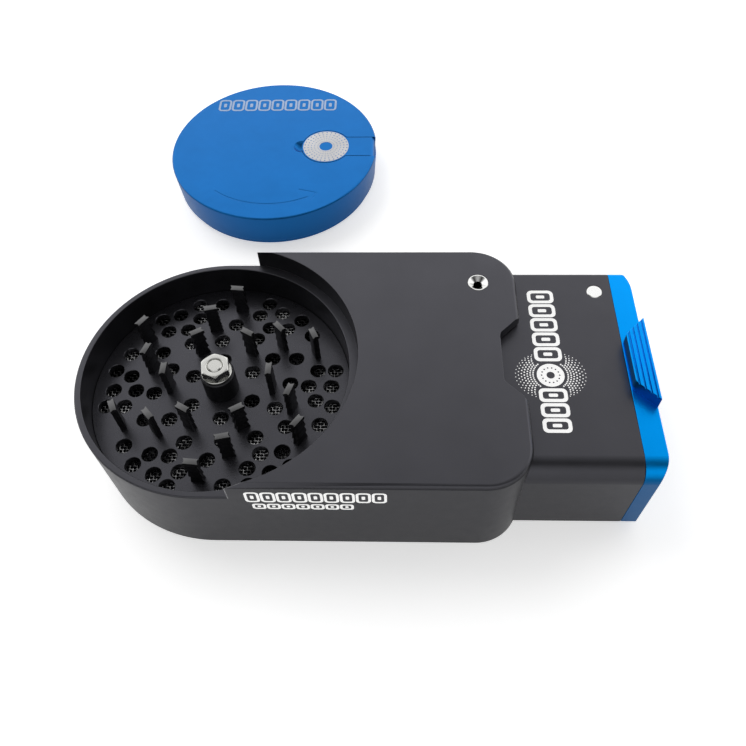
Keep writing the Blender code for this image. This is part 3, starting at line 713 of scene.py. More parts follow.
def rounded(x0, y0, x1, y1, radius, hole=False):
    """A rectangle with rounded corners."""
    steps = 4
    points = arc(x1 - radius, y1 - radius, radius, 0, 90, steps)
    points += arc(x0 + radius, y1 - radius, radius, 90, 180, steps)
    points += arc(x0 + radius, y0 + radius, radius, 180, 270, steps)
    points += arc(x1 - radius, y0 + radius, radius, 270, 360, steps)
    return points[::-1] if hole else points


def moved(outline, x, y):
    return [(px + x, py + y) for px, py in outline]


def on_lid(obj):
    """Moves a mesh drawn about the lid's axis to the lid's place."""
    obj.data.transform(Matrix.Translation(LID_CENTRE))
    return obj


# Housing and base


def make_housing():
    outline = housing_outline(RIM_RADIUS, BLOCK_END, CORNER_RADIUS)
    body = chamfered("housing_body", outline, 0, RIM_TOP, RIM_EDGE, BLACK)
    block_part = chamfered("block_join", outline, RIM_TOP - 2 * MM, BLOCK_TOP, TOP_CHAMFER, BLACK)
    seat = turned(
        "seat_cut",
        [(0, BLOCK_TOP + OVER), (SEAT_RADIUS + SEAT_EDGE + OVER, BLOCK_TOP + OVER),
         (SEAT_RADIUS, BLOCK_TOP - SEAT_EDGE), (SEAT_RADIUS, RIM_TOP - 3 * MM), (0, RIM_TOP - 3 * MM)],
        ROUND,
    )
    combine(block_part, "DIFFERENCE", seat)
    combine(body, "UNION", block_part)
    bowl = turned(
        "bowl_cut",
        [(0, RIM_TOP + OVER), (BORE_RADIUS + BORE_EDGE + OVER, RIM_TOP + OVER),
         (BORE_RADIUS, RIM_TOP - BORE_EDGE), (BORE_RADIUS, LEDGE_TOP), (LEDGE_RADIUS, LEDGE_TOP),
         (LEDGE_RADIUS, TUNNEL_LOW_TOP - OVER), (0, TUNNEL_LOW_TOP - OVER)],
        ROUND,
    )
    low_tunnel = flat(
        "low_tunnel_cut", [tray_outline(TUNNEL_HALF, TUNNEL_TALL_START + OVER)],
        TUNNEL_LOW, TUNNEL_LOW_TOP,
    )
    section = drawer_section(TUNNEL_HALF, TUNNEL_LOW, TUNNEL_TOP, TUNNEL_FILLET, TUNNEL_FAR_FILLET)
    tall_tunnel = flat("tall_tunnel_cut", [section], TUNNEL_TALL_START, BLOCK_END + OVER, along="X")
    recess = flat(
        "recess_cut",
        [housing_outline(RIM_RADIUS - BASE_RIM, BLOCK_END - BASE_SILL, CORNER_RADIUS - BASE_RIM)],
        -OVER, BASE_THICKNESS,
    )
    notch = flat(
        "notch_cut", [trapezoid(NOTCH_START, NOTCH_HALF, NOTCH_FILLET, BLOCK_END + OVER)],
        TUNNEL_TOP - OVER, BLOCK_TOP + OVER,
    )
    eyelet_hole = rod(
        "eyelet_cut", EYELET_RADIUS + SEAM, (EYELET_SPOT.x, EYELET_SPOT.y, TUNNEL_TOP - OVER),
        (EYELET_SPOT.x, EYELET_SPOT.y, BLOCK_TOP + OVER), MIDDLE,
    )
    combine(body, "DIFFERENCE", bowl, low_tunnel, tall_tunnel, recess, notch, eyelet_hole)
    soften(body, EDGE, lambda x, y, z: x > TUNNEL_TALL_START + OVER and z > TUNNEL_LOW)
    settle(body, "base", "black_anodised", "housing")


def make_base():
    inset = BASE_RIM + SEAM
    plate = flat(
        "base_cover",
        [housing_outline(RIM_RADIUS - inset, BLOCK_END - BASE_SILL - SEAM, CORNER_RADIUS - inset)],
        0, BASE_THICKNESS, BLACK,
    )
    heads = []
    for number in range(1, BASE_SCREWS + 1):
        low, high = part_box(f"base_screw_{number}")
        heads.append(((low + high) / 2, (high.x - low.x) / 2, high.z, number))
    holes = [
        turned(
            f"screw_seat_{number}",
            [(0, BASE_THICKNESS + OVER), (SCREW_SHANK, BASE_THICKNESS + OVER),
             (SCREW_SHANK, radius - SCREW_SHANK), (radius + SEAM, -SEAM), (radius + SEAM, -OVER), (0, -OVER)],
            SMALL, centre=(middle.x, middle.y, 0),
        )
        for middle, radius, _, number in heads
    ]
    combine(plate, "DIFFERENCE", *holes)
    soften(plate, EDGE)
    settle(plate, "base", "black_anodised", "base_plate")
    for middle, radius, tip, number in heads:
        make_base_screw(number, middle, radius, tip)


def make_base_screw(number, middle, radius, tip):
    """A countersunk screw with a hexagon socket, its head down."""
    screw = turned(
        f"base_screw_head_{number}",
        [(0, tip), (SCREW_SHANK * 0.6, tip), (SCREW_SHANK, tip - SCREW_SHANK * 0.5),
         (SCREW_SHANK, radius - SCREW_SHANK + SEAM), (radius, SEAM * 2), (radius * 0.92, SEAM), (0, SEAM)],
        SMALL, STEEL, centre=(middle.x, middle.y, 0),
    )
    socket = moved(arc(0, 0, radius * 0.5, 0, 300, 5), middle.x, middle.y)
    combine(screw, "DIFFERENCE", flat(f"socket_{number}", [socket], -OVER, SOCKET_DEPTH))
    settle(shade(screw), "base", "steel", f"base_screw_{number}")


# Bowl


def make_grinding_plate():
    outlines = [circle(0, 0, PLATE_RADIUS, ROUND), circle(0, 0, BOLT_CLEARANCE, MIDDLE, hole=True)]
    outlines += [circle(x, y, HOLE_RADIUS, 40, hole=True) for x, y, _ in ring_spots(HOLE_RINGS)]
    plate = flat("bowl_floor", outlines, PLATE_LOW, PLATE_TOP, PLATE_BLACK, bevel=0.1 * MM)
    settle(shade(plate), "base", "tooth_black", "grinding_plate")


def tooth_levels(length):
    """(distance from the tip, half length) down a tooth: a plain cap, then notches that widen downwards."""
    full, narrow = TOOTH_LENGTH / 2, TOOTH_LENGTH / 2 - TOOTH_NOTCH
    step = (length - TOOTH_CAP) / TOOTH_NOTCHES
    levels = [(0, full), (TOOTH_CAP, full)]
    for notch in range(TOOTH_NOTCHES):
        top = TOOTH_CAP + notch * step
        levels += [(top + 0.12 * step, narrow), (top + step, full)]
    return levels + [(length + TOOTH_ROOT, full)]


def make_teeth(name, rings, tip, length, direction, materials):
    """Notched teeth on rings about the origin. direction is the way from tip to root along Z."""
    bm = bmesh.new()
    half = TOOTH_WIDTH / 2
    for x, y, angle in ring_spots(rings):
        place = Matrix.Translation((x, y, 0)) @ Matrix.Rotation(angle, 4, "Z")
        loops = []
        for down, reach in tooth_levels(length):
            z = tip + direction * down
            shear = TOOTH_SHEAR / 2
            corners = [
                (-half, -reach - shear), (0, TOOTH_VEE - reach), (half, -reach + shear),
                (half, reach + shear), (0, reach - TOOTH_VEE), (-half, reach - shear),
            ]
            loops.append([bm.verts.new(place @ Vector((px, py, z))) for px, py in corners])
        cap = bm.faces.new(loops[0])
        cap.material_index = 1
        bm.faces.new(loops[-1])
        for upper, lower in zip(loops, loops[1:]):
            for i in range(len(upper)):
                j = (i + 1) % len(upper)
                bm.faces.new((upper[i], upper[j], lower[j], lower[i]))
    teeth = from_bmesh(name, bm, *materials)
    bevel = teeth.modifiers.new("edges", "BEVEL")
    bevel.width = 0.05 * MM
    bevel.segments = 2
    bevel.limit_method = "ANGLE"
    bake(teeth)
    return shade(teeth, 40)


def make_bowl_teeth():
    teeth = make_teeth(
        "bowl_teeth", TOOTH_RINGS, TOOTH_TOP, TOOTH_TOP - PLATE_TOP, -1, (TOOTH_BLACK, TIP_GREY)
    )
    settle(teeth, "base", "tooth_black")


def make_sieve():
    """A screen woven from two sets of wires, and the ring that carries it."""
    low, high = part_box("sieve_screen")
    middle = (low.z + high.z) / 2
    bm = bmesh.new()
    rows = int(PLATE_RADIUS / WIRE_PITCH)
    for row in range(-rows, rows + 1):
        across = (row + 0.5) * WIRE_PITCH
        reach = PLATE_RADIUS - 0.2 * MM
        if abs(across) >= reach:
            continue
        half = math.sqrt(reach**2 - across**2)
        for lies_along_x in (True, False):
            add_wire(bm, across, half, middle, row, lies_along_x)
    screen = from_bmesh("sieve_mesh", bm, MESH_STEEL)
    settle(shade(screen, 80), "base", "mesh_steel", "sieve_screen")
    ring_low, ring_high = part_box("sieve_ring")
    ring = turned(
        "sieve_rim",
        [(LEDGE_RADIUS, ring_high.z), (PLATE_RADIUS, ring_high.z), (PLATE_RADIUS, ring_low.z),
         (LEDGE_RADIUS, ring_low.z)],
        ROUND, BLACK, closed=True,
    )
    soften(ring, EDGE)
    settle(ring, "base", "black_anodised", "sieve_ring")


def add_wire(bm, across, half, middle, row, lies_along_x):
    """One wire, waving over and under those it crosses."""
    count = max(2, round(2 * half / WIRE_PITCH * WIRE_STEPS))
    turn = math.pi * (row if lies_along_x else row + 1)
    loops = []
    for i in range(count + 1):
        along = -half + 2 * half * i / count
        height = middle + WIRE_RADIUS * math.sin(math.pi * along / WIRE_PITCH + turn)
        loop = []
        for side in range(WIRE_SIDES):
            angle = 2 * math.pi * side / WIRE_SIDES
            offset = across + WIRE_RADIUS * math.cos(angle)
            z = height + WIRE_RADIUS * math.sin(angle)
            loop.append(bm.verts.new((along, offset, z) if lies_along_x else (offset, along, z)))
        loops.append(loop)
    bm.faces.new(loops[0])
    bm.faces.new(loops[-1])
    for first, second in zip(loops, loops[1:]):
        for i in range(WIRE_SIDES):
            j = (i + 1) % WIRE_SIDES
            bm.faces.new((first[i], first[j], second[j], second[i]))


def make_centre_stack():
    post = turned(
        "post_body",
        [(BOLT_CLEARANCE, POST_TOP + 0.25 * MM), (POST_RADIUS - 0.2 * MM, POST_TOP + 0.25 * MM),
         (POST_RADIUS, POST_TOP + 0.05 * MM), (POST_RADIUS, PLATE_TOP), (BOLT_CLEARANCE, PLATE_TOP)],
        MIDDLE, TOOTH_BLACK, closed=True,
    )
    settle(shade(post), "base", "tooth_black", "centre_post")
    washer_low, washer_top = POST_TOP + 0.26 * MM, WASHER_TOP + 0.2 * MM
    washer = turned(
        "washer_disc",
        [(BOLT_CLEARANCE, washer_top), (WASHER_RADIUS - 0.1 * MM, washer_top),
         (WASHER_RADIUS, washer_top - 0.1 * MM), (WASHER_RADIUS, washer_low + 0.1 * MM),
         (WASHER_RADIUS - 0.1 * MM, washer_low), (BOLT_CLEARANCE, washer_low)],
        MIDDLE, STEEL, closed=True,
    )
    settle(shade(washer), "base", "steel", "post_washer")
    make_nut()
    make_bolt()


def make_nut():
    """A hexagon whose corners are turned down at 30 degrees, with a countersunk bore."""
    outline = arc(0, 0, NUT_CORNER, 30 + NUT_TURN, 330 + NUT_TURN, 5)
    nut = flat("nut_body", [outline], NUT_LOW - 0.1 * MM, NUT_TOP, STEEL)
    drop = (NUT_CORNER - NUT_FLATS / 2 * 0.96) * math.tan(math.radians(30))
    form = turned(
        "nut_form",
        [(BOLT_RADIUS + 0.35 * MM, NUT_TOP + 0.01 * MM), (NUT_FLATS / 2 * 0.96, NUT_TOP + 0.01 * MM),
         (NUT_CORNER + 0.1 * MM, NUT_TOP - drop), (NUT_CORNER + 0.1 * MM, NUT_LOW - OVER),
         (BOLT_RADIUS + SEAM, NUT_LOW - OVER), (BOLT_RADIUS + SEAM, NUT_TOP - 0.3 * MM)],
        MIDDLE, closed=True,
    )
    combine(nut, "INTERSECT", form)
    soften(nut, 0.06 * MM)
    settle(nut, "base", "steel", "hex_nut")


def make_bolt():
    thread_low = BOLT_HEAD_TOP
    bolt = turned(
        "bolt_body",
        [(0, NUT_TOP), (BOLT_RADIUS - 0.25 * MM, NUT_TOP), (BOLT_RADIUS, NUT_TOP - 0.25 * MM),
         (BOLT_RADIUS, thread_low), (BOLT_HEAD_RADIUS - 0.2 * MM, thread_low),
         (BOLT_HEAD_RADIUS, thread_low - 0.2 * MM), (BOLT_HEAD_RADIUS, BOLT_HEAD_LOW + 0.2 * MM),
         (BOLT_HEAD_RADIUS - 0.2 * MM, BOLT_HEAD_LOW), (0, BOLT_HEAD_LOW)],
        MIDDLE, STEEL,
    )
    socket = arc(0, 0, BOLT_HEAD_RADIUS * 0.55, 0, 300, 5)
    combine(
        bolt, "DIFFERENCE", flat("bolt_socket", [socket], BOLT_HEAD_LOW - OVER, BOLT_HEAD_LOW + 1.1 * MM)
    )
    settle(shade(bolt), "base", "steel", "centre_bolt")


def make_eyelet():
    top, low = BLOCK_TOP + 0.03 * MM, EYELET_LOW.z
    mouth = EYELET_RADIUS - EYELET_LIP
    eyelet = turned(
        "eyelet_lining",
        [(mouth, top), (EYELET_RADIUS - 0.05 * MM, top), (EYELET_RADIUS, top - 0.05 * MM),
         (EYELET_RADIUS, low), (EYELET_BORE, low), (EYELET_BORE, top - EYELET_CONE)],
        MIDDLE, EYELET_STEEL, centre=(EYELET_SPOT.x, EYELET_SPOT.y, 0), closed=True,
    )
    settle(shade(eyelet), "base", "steel", "roof_eyelet")


# Drawer


def make_drawer_body():
    start = TUNNEL_TALL_START + TUNNEL_PLAY + DRAWER_OUT
    end = FACE_START - SEAM
    section = drawer_section(DRAWER_HALF, DRAWER_LOW.z, DRAWER_TOP, DRAWER_FILLET, DRAWER_FAR_FILLET)
    body = flat("drawer_tray", [section], start, end, DRAWER_BLACK, along="X")
    tray = flat(
        "tray_join", [tray_outline(DRAWER_HALF, end - OVER, DRAWER_OUT)], DRAWER_LOW.z, TRAY_TOP
    )
    combine(body, "UNION", tray)
    inside_end = FACE_START - TUNNEL_PLAY - END_WALL
    hollow = flat(
        "tray_cut", [tray_outline(DRAWER_HALF - TRAY_WALL, inside_end, DRAWER_OUT)],
        TRAY_FLOOR, TRAY_TOP + OVER,
    )
    pocket = block(
        "pocket_cut", (start - OVER, -POCKET_HALF, TRAY_FLOOR),
        (inside_end, POCKET_HALF, DRAWER_TOP - COVER_THICKNESS),
    )
    socket = rod(
        "magnet_cut", MAGNET_RADIUS + SEAM, (MAGNET_SPOT.x, MAGNET_SPOT.y, MAGNET_LOW.z),
        (MAGNET_SPOT.x, MAGNET_SPOT.y, DRAWER_TOP + OVER), MIDDLE,
    )
    combine(body, "DIFFERENCE", hollow, pocket, socket)
    soften(body, EDGE)
    settle(body, "drawer", "black_anodised", "drawer_body")
    magnet = turned(
        "magnet_disc",
        [(0, DRAWER_TOP + 0.02 * MM), (MAGNET_RADIUS - 0.15 * MM, DRAWER_TOP + 0.02 * MM),
         (MAGNET_RADIUS, DRAWER_TOP - 0.13 * MM), (MAGNET_RADIUS, MAGNET_LOW.z + 0.05 * MM),
         (0, MAGNET_LOW.z + 0.05 * MM)],
        MIDDLE, NICKEL, centre=(MAGNET_SPOT.x, MAGNET_SPOT.y, 0),
    )
    settle(shade(magnet), "drawer", "nickel", "drawer_magnet")


def pull_profile(start, end):
    """Across the pull, in X and Z: a flat top with narrow grooves."""
    low = DRAWER_TOP - OVER
    points = [(start, low), (start, PULL_TOP)]
    for groove in range(GROOVES):
        middle = GROOVES_START + groove * GROOVE_PITCH
        for share, drop in ((-0.5, 0), (-0.25, GROOVE_DEPTH), (0.25, GROOVE_DEPTH), (0.5, 0)):
            points.append((middle + share * GROOVE_WIDTH, PULL_TOP - drop))
    return points + [(end, PULL_TOP), (end, low)]


def make_drawer_face():
    section = drawer_section(DRAWER_HALF, DRAWER_LOW.z, DRAWER_TOP, DRAWER_FILLET, DRAWER_FAR_FILLET)
    face = flat("face_plate", [section], FACE_START, FACE_END, FACE_BLUE, along="X")
    rounding = flat(
        "face_rounding", [housing_outline(RIM_RADIUS, FACE_END, CORNER_RADIUS)], -OVER, PULL_TOP + OVER
    )
    combine(face, "INTERSECT", rounding)
    soften(face, 0.15 * MM)
    settle(face, "drawer", "drawer_blue", "drawer_face")
    make_pull()


def make_pull():
    """The thumb pull that stands on the face plate and fills the housing's notch."""
    start = NOTCH_START + PULL_GAP + DRAWER_OUT
    end = FACE_END - SEAM
    half = NOTCH_HALF - math.tan(math.radians(22.5)) * PULL_GAP
    pull = flat(
        "thumb_pull", [trapezoid(start, half, NOTCH_FILLET - PULL_GAP, end)],
        DRAWER_TOP - OVER / 2, PULL_TOP + OVER, PULL_BLUE,
    )
    ridges = flat("ridges_form", [pull_profile(start - OVER, end + OVER)], -20 * MM, 20 * MM, along="Y")
    combine(pull, "INTERSECT", ridges)
    soften(pull, PULL_EDGE)
    settle(pull, "drawer", "drawer_blue")


def make_face_screws():
    """Two screws from inside the drawer, with hexagon sockets in their heads."""
    for number in (1, 2):
        low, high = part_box(f"face_screw_{number}")
        middle, radius = (low + high) / 2, (high.y - low.y) / 2
        shank = 1.0 * MM
        head_end = low.x + 1.5 * MM
        screw = turned(
            f"face_screw_head_{number}",
            [(0, high.x), (shank, high.x - 0.2 * MM), (shank, head_end), (radius, head_end),
             (radius, low.x + 0.3 * MM), (radius - 0.3 * MM, low.x), (0, low.x)],
            SMALL, STEEL,
        )
        socket = arc(0, 0, radius * 0.5, 0, 300, 5)
        combine(screw, "DIFFERENCE", flat("face_socket", [socket], low.x - OVER, low.x + 0.8 * MM))
        screw.data.transform(
            Matrix.Translation((0, middle.y, middle.z)) @ Matrix.Rotation(math.radians(90), 4, "Y")
        )
        settle(shade(screw), "drawer", "steel", f"face_screw_{number}")


# Lid


def arrow_outlines():
    """A turning arrow: an arc in front of the lid's axis, and the two strokes of its head."""
    half = ARROW_WIDTH / 2
    first, last, tip = -129, -62, -55
    band = arc(0, 0, ARROW_RADIUS + half, first, last, MIDDLE)
    band += arc(0, 0, ARROW_RADIUS - half, last, first, MIDDLE)
    ahead = Vector(arc(0, 0, ARROW_RADIUS, tip, tip, 1)[0])
    strokes = []
    for radius, angle in ((ARROW_RADIUS - 4.0 * MM, last - 3), (ARROW_RADIUS + 1.5 * MM, last)):
        back = Vector(arc(0, 0, radius, angle, angle, 1)[0])
        side = (ahead - back).orthogonal().normalized() * half
        strokes.append([tuple(p) for p in (back - side, ahead - side, ahead + side, back + side)])
    return [band], strokes


def make_lid_cover():
    under = LID_TOP - LID_PLATE
    socket = BALL_RADIUS + SEAM
    guide_side, guide_over = GUIDE_OUTER + SEAM, GUIDE_TOP + SEAM
    cover = turned(
        "lid_cover",
        [(0, LID_TOP), (LID_RADIUS - LID_CHAMFER, LID_TOP), (LID_RADIUS, LID_TOP - LID_CHAMFER),
         (SKIRT_RADIUS, SKIRT_LOW), (guide_side, SKIRT_LOW), (guide_side, guide_over),
         (SKIRT_INNER, guide_over), (SKIRT_INNER, under), (BOSS_RADIUS, under),
         (BOSS_RADIUS, BOSS_LOW), (socket, BOSS_LOW), (socket, LID_MAGNET_TOP + SEAM),
         (0, LID_MAGNET_TOP + SEAM)],
        ROUND, LID_BLUE,
    )
    recess = flat(
        "recess_cut",
        [keyhole(CRANK_EYE_RADIUS + CRANK_PLAY, CRANK_HALF + CRANK_PLAY, LID_RADIUS + OVER)],
        LID_TOP - CRANK_THICKNESS - 0.3 * MM, LID_TOP + OVER,
    )
    knuckle = block(
        "knuckle_cut",
        (PIN_REACH - PIN_DROP - 0.3 * MM, -CRANK_HALF - CRANK_PLAY, LID_TOP - 2 * PIN_DROP - 0.3 * MM),
        (LID_RADIUS + OVER, CRANK_HALF + CRANK_PLAY, LID_TOP + OVER),
    )
    pin_hole = rod(
        "pin_cut", PIN_HOLE, (PIN_REACH, -PIN_HALF - 0.3 * MM, LID_TOP - PIN_DROP),
        (PIN_REACH, PIN_HALF + 0.3 * MM, LID_TOP - PIN_DROP), SMALL,
    )
    bm = bmesh.new()
    bmesh.ops.create_uvsphere(bm, u_segments=MIDDLE, v_segments=SMALL, radius=SCOOP_RADIUS)
    scoop = from_bmesh("scoop_cut", bm)
    scoop.location = (CRANK_EYE - CRANK_EYE_RADIUS, 0, LID_TOP + SCOOP_RADIUS - SCOOP_DEPTH)
    combine(cover, "DIFFERENCE", recess, knuckle, pin_hole, scoop)
    band, strokes = arrow_outlines()
    floor = LID_TOP - ARROW_DEPTH
    marks = [flat("arrow_band", band, floor, LID_TOP + OVER)]
    marks += [flat(f"arrow_stroke_{i}", [s], floor, LID_TOP + OVER) for i, s in enumerate(strokes)]
    combine(cover, "DIFFERENCE", *marks)
    soften(cover, 0.1 * MM, lambda x, y, z: z > LID_TOP - 0.01 * MM or z < SKIRT_LOW + 0.01 * MM)
    settle(on_lid(cover), "lid", "lid_blue", "lid_shell")


def make_lid_parts():
    under = LID_TOP - LID_PLATE
    teeth = make_teeth("lid_teeth", LID_TOOTH_RINGS, 0, under, 1, (LID_BLUE, LID_BLUE))
    settle(on_lid(teeth), "lid", "lid_blue")
    guide = turned(
        "guide_band",
        [(GUIDE_INNER, GUIDE_TOP), (GUIDE_OUTER, GUIDE_TOP), (GUIDE_OUTER, GUIDE_LOW),
         (GUIDE_INNER, GUIDE_LOW)],
        ROUND, LID_BLUE, closed=True,
    )
    soften(guide, EDGE)
    settle(on_lid(guide), "lid_guide", "lid_blue", "guide_ring")
    bm = bmesh.new()
    bmesh.ops.create_uvsphere(bm, u_segments=MIDDLE, v_segments=SMALL, radius=BALL_RADIUS)
    ball = from_bmesh("bearing_ball", bm, STEEL)
    ball.data.transform(Matrix.Translation((0, 0, (BALL_LOW.z + BALL_HIGH.z) / 2)))
    settle(on_lid(shade(ball, 80)), "lid_carrier", "steel", "pivot_ball")
    magnet = turned(
        "lid_magnet_disc",
        [(0, LID_MAGNET_TOP), (BALL_RADIUS - 0.15 * MM, LID_MAGNET_TOP),
         (BALL_RADIUS, LID_MAGNET_TOP - 0.15 * MM), (BALL_RADIUS, LID_MAGNET_LOW + 0.15 * MM),
         (BALL_RADIUS - 0.15 * MM, LID_MAGNET_LOW), (0, LID_MAGNET_LOW)],
        MIDDLE, NICKEL,
    )
    settle(on_lid(shade(magnet)), "lid", "nickel", "lid_magnet")


def make_crank():
    arm = flat(
        "crank_arm", [keyhole(CRANK_EYE_RADIUS, CRANK_HALF, PIN_REACH)],
        LID_TOP - CRANK_THICKNESS, LID_TOP, LID_BLUE,
    )
    height = LID_TOP - PIN_DROP
    knuckle = rod(
        "knuckle_join", PIN_DROP, (PIN_REACH, -CRANK_HALF, height), (PIN_REACH, CRANK_HALF, height), MIDDLE
    )
    combine(arm, "UNION", knuckle)
    bore = rod(
        "crank_bore", PIN_HOLE, (PIN_REACH, -CRANK_HALF - OVER, height),
        (PIN_REACH, CRANK_HALF + OVER, height), SMALL,
    )
    combine(arm, "DIFFERENCE", bore)
    soften(arm, 0.1 * MM, lambda x, y, z: z > LID_TOP - 0.01 * MM)
    settle(on_lid(arm), "crank", "lid_blue", "crank")
    pin = rod(
        "hinge_pin", PIN_RADIUS, (PIN_REACH, -PIN_HALF, height), (PIN_REACH, PIN_HALF, height), SMALL, STEEL
    )
    settle(on_lid(shade(pin)), "crank", "steel", "crank_pin")
    make_inlay()


def make_inlay():
    """A silver ring round the crank's eye, pierced by plain radial rows of small dots."""
    outlines = [
        circle(CRANK_EYE, 0, INLAY_OUTER, MIDDLE), circle(CRANK_EYE, 0, INLAY_INNER, SMALL, hole=True)
    ]
    step = (INLAY_OUTER - INLAY_INNER) / INLAY_RINGS
    for ring in range(INLAY_RINGS):
        radius = INLAY_INNER + (ring + 0.5) * step
        size = INLAY_DOT * radius / INLAY_OUTER + INLAY_DOT / 3
        for ray in range(INLAY_RAYS):
            angle = 2 * math.pi * (ray + 0.5) / INLAY_RAYS
            x, y = CRANK_EYE + radius * math.cos(angle), radius * math.sin(angle)
            outlines.append(circle(x, y, size, 8, hole=True))
    ring = flat("eye_inlay", outlines, LID_TOP - INLAY_RAISE, LID_TOP + INLAY_RAISE, INLAY_SILVER)
    settle(on_lid(shade(ring)), "crank", "steel")


# Printed marks: plain rounded blocks and ticks


def block_row(start, pitch, count, low, high, stroke):
    """Outlined rounded blocks side by side, each with a short bar inside."""
    outlines = []
    radius = 0.28 * min(pitch, high - low)
    for i in range(count):
        x0, x1 = start + i * pitch, start + (i + 1) * pitch - 0.35 * stroke
        outlines.append(rounded(x0, low, x1, high, radius))
        outlines.append(
            rounded(x0 + stroke, low + stroke, x1 - stroke, high - stroke, radius * 0.5, hole=True)
        )
        inner = 0.34 * (high - low)
        middle = (x0 + x1) / 2
        half = 0.11 * pitch
        outlines.append(rounded(middle - half, low + inner, middle + half, high - inner, half * 0.6))
    return outlines


def place_print(obj, body, slot):
    settle(shade(obj), body, slot)


def make_prints():
    raised = PRINT_THICKNESS / 2
    lid_marks = flat(
        "lid_marks", block_row(*LID_ROW), LID_TOP - raised, LID_TOP + raised, LASER_GREY
    )
    place_print(on_lid(lid_marks), "lid", "steel")
    wall = -RIM_RADIUS
    rows = block_row(*WALL_TOP_ROW) + block_row(*WALL_LOW_ROW)
    wall_marks = flat("wall_marks", rows, wall - raised, wall + raised, WHITE_PAINT, along="Y")
    place_print(wall_marks, "base", "steel")
    make_drawer_mark(raised)


def make_drawer_mark(raised):
    """Blocks in a line across the drawer, broken by a round motif of plain radial ticks."""
    low, high = DRAWER_TOP - raised, DRAWER_TOP + raised
    middle = Vector(((DRAWER_ACROSS[0] + DRAWER_ACROSS[1]) / 2, MOTIF_Y))
    outlines = []
    for row in (DRAWER_FAR_ROW, DRAWER_NEAR_ROW):
        for outline in block_row(*row):
            outlines.append([(y, x) for x, y in reversed(outline)])
    outlines.append(circle(middle.x, middle.y, MOTIF_OUTER, MIDDLE))
    outlines.append(circle(middle.x, middle.y, MOTIF_INNER, SMALL, hole=True))
    for x, y in circle(middle.x, middle.y, (MOTIF_OUTER + MOTIF_INNER) / 2, MOTIF_DOTS):
        outlines.append(circle(x, y, MOTIF_DOT, 8, hole=True))
    outlines += tick_outlines(middle)
    marks = flat("drawer_marks", outlines, low, high, WHITE_PAINT)
    place_print(marks, "drawer", "steel")


def tick_outlines(middle):
    """Rings of dots round a middle, each ring turned by half a step and the outer dots smaller."""
    outlines = []
    for ray in range(TICK_RAYS):
        angle = 2 * math.pi * ray / TICK_RAYS
        reach = TICK_REACH_X * math.cos(angle) ** 2 + TICK_REACH_Y * math.sin(angle) ** 2
        for ring in range(TICK_RINGS):
            angle += (-1) ** ring * math.pi / TICK_RAYS
            distance = TICK_START + ring * (reach - TICK_START) / (TICK_RINGS - 1)
            x = distance * math.cos(angle)
            y = distance * math.sin(angle)
            if abs(x) < TICK_CLEAR[0] and abs(y) > TICK_CLEAR[1]:
                continue
            size = min(0.19, 0.28 - 0.027 * ring) * MM
            outlines.append(circle(middle.x + x, middle.y + y, size, 8))
    return outlines


# Stage


def make_floor():
    bm = bmesh.new()
    bmesh.ops.create_circle(bm, cap_ends=True, segments=96, radius=3.0)
    floor = from_bmesh("studio_floor", bm)
    floor.location.z = -0.02 * MM
    graph = Graph("pale_floor")
    tint = graph.mix(graph.noise(60 * MM, 3.0), (0.88, 0.88, 0.88), (0.90, 0.90, 0.90))
    graph.link(tint, graph.shader.inputs["Base Color"])
    graph.shader.inputs["Roughness"].default_value = 0.9
    graph.shader.inputs["Specular IOR Level"].default_value = 0.1
    graph.shader.inputs["Emission Color"].default_value = (1, 1, 1, 1)
    seen = graph.add("ShaderNodeLightPath").outputs["Is Camera Ray"]
    glow = graph.math("MULTIPLY_ADD", seen, FLOOR_LIFT, FLOOR_GLOW)
    graph.link(glow, graph.shader.inputs["Emission Strength"])
    floor.data.materials.append(graph.material)


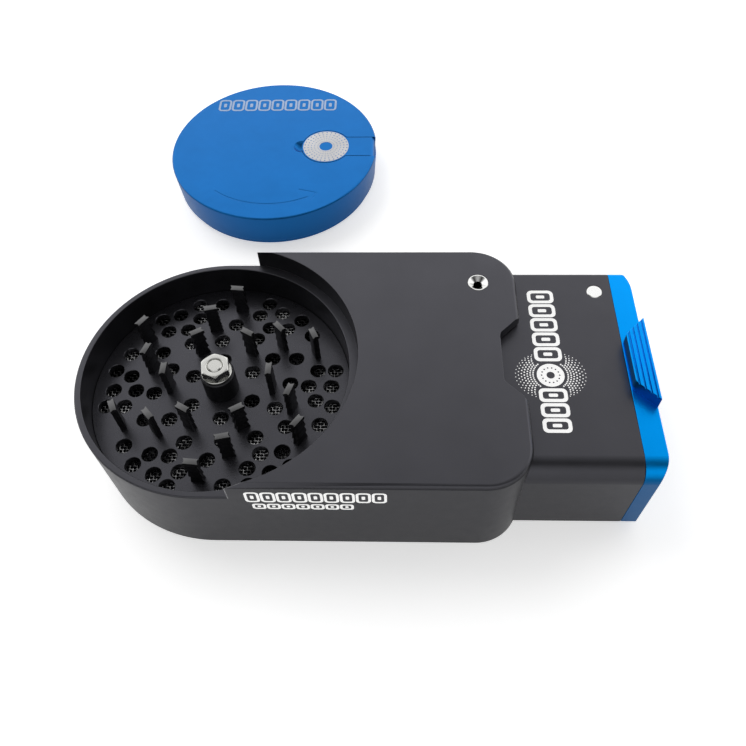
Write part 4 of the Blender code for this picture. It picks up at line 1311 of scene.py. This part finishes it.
def make_world():
    """A bright band behind the object, a weaker one on the camera's side, and darker overhead."""
    world = bpy.data.worlds.new("studio")
    bpy.context.scene.world = world
    world.use_nodes = True
    graph = Graph.__new__(Graph)
    graph.tree = world.node_tree
    background = graph.tree.nodes["Background"]
    background.inputs["Color"].default_value = (1, 1, 1, 1)
    split = graph.add("ShaderNodeSeparateXYZ")
    graph.link(graph.add("ShaderNodeTexCoord").outputs["Generated"], split.inputs[0])
    behind = graph.fade(split.outputs["Y"], -0.25, 0.30)
    below = graph.fade(split.outputs["Z"], 0.86, 0.70)
    front = graph.fade(split.outputs["Y"], -0.35, -0.75)
    level = graph.math("MULTIPLY_ADD", below, BAND_LIGHT - OVERHEAD_LIGHT, OVERHEAD_LIGHT)
    dim = graph.math("MULTIPLY_ADD", front, FRONT_LIGHT, ROOM_LIGHT)
    strength = graph.math("MULTIPLY_ADD", behind, level, dim)
    seen = graph.add("ShaderNodeLightPath").outputs["Is Camera Ray"]
    graph.link(graph.math("MAXIMUM", strength, seen), background.inputs["Strength"])


def make_light(name, place, aim, size, watts):
    data = bpy.data.lights.new(name, "AREA")
    data.shape = "DISK"
    data.size = size
    data.energy = watts
    light = new_object(name, data)
    light.location = place
    light.rotation_euler = (Vector(aim) - Vector(place)).to_track_quat("-Z", "Y").to_euler()
    light.visible_glossy = False


def make_camera():
    """At the photographer's place: a short distance in front, looking down."""
    pitch, yaw, roll = (math.radians(a) for a in (-55.707, -3.053, -2.313))
    ahead = Vector((math.sin(yaw) * math.cos(pitch), math.cos(yaw) * math.cos(pitch), math.sin(pitch)))
    right = Vector((math.cos(yaw), -math.sin(yaw), 0))
    up = right.cross(ahead)
    side = math.cos(roll) * right + math.sin(roll) * up
    top = math.cos(roll) * up - math.sin(roll) * right
    data = bpy.data.cameras.new("camera")
    data.sensor_width = 36.0
    data.lens = 36.43
    data.clip_start = 10 * MM
    camera = new_object("camera", data)
    turn = Matrix((side, top, -ahead)).transposed().to_4x4()
    camera.matrix_world = Matrix.Translation(Vector((40.453, -95.553, 161.399)) * MM) @ turn
    bpy.context.scene.camera = camera


make_housing()
make_base()
make_grinding_plate()
make_bowl_teeth()
make_sieve()
make_centre_stack()
make_eyelet()
make_drawer_body()
make_drawer_face()
make_face_screws()
make_lid_cover()
make_lid_parts()
make_crank()
make_prints()
make_floor()
make_world()
make_light("key", (-0.35, 0.35, 0.75), (0.03, 0.03, 0), 0.5, 1.6)
make_camera()
bpy.context.scene.view_settings.view_transform = "Standard"
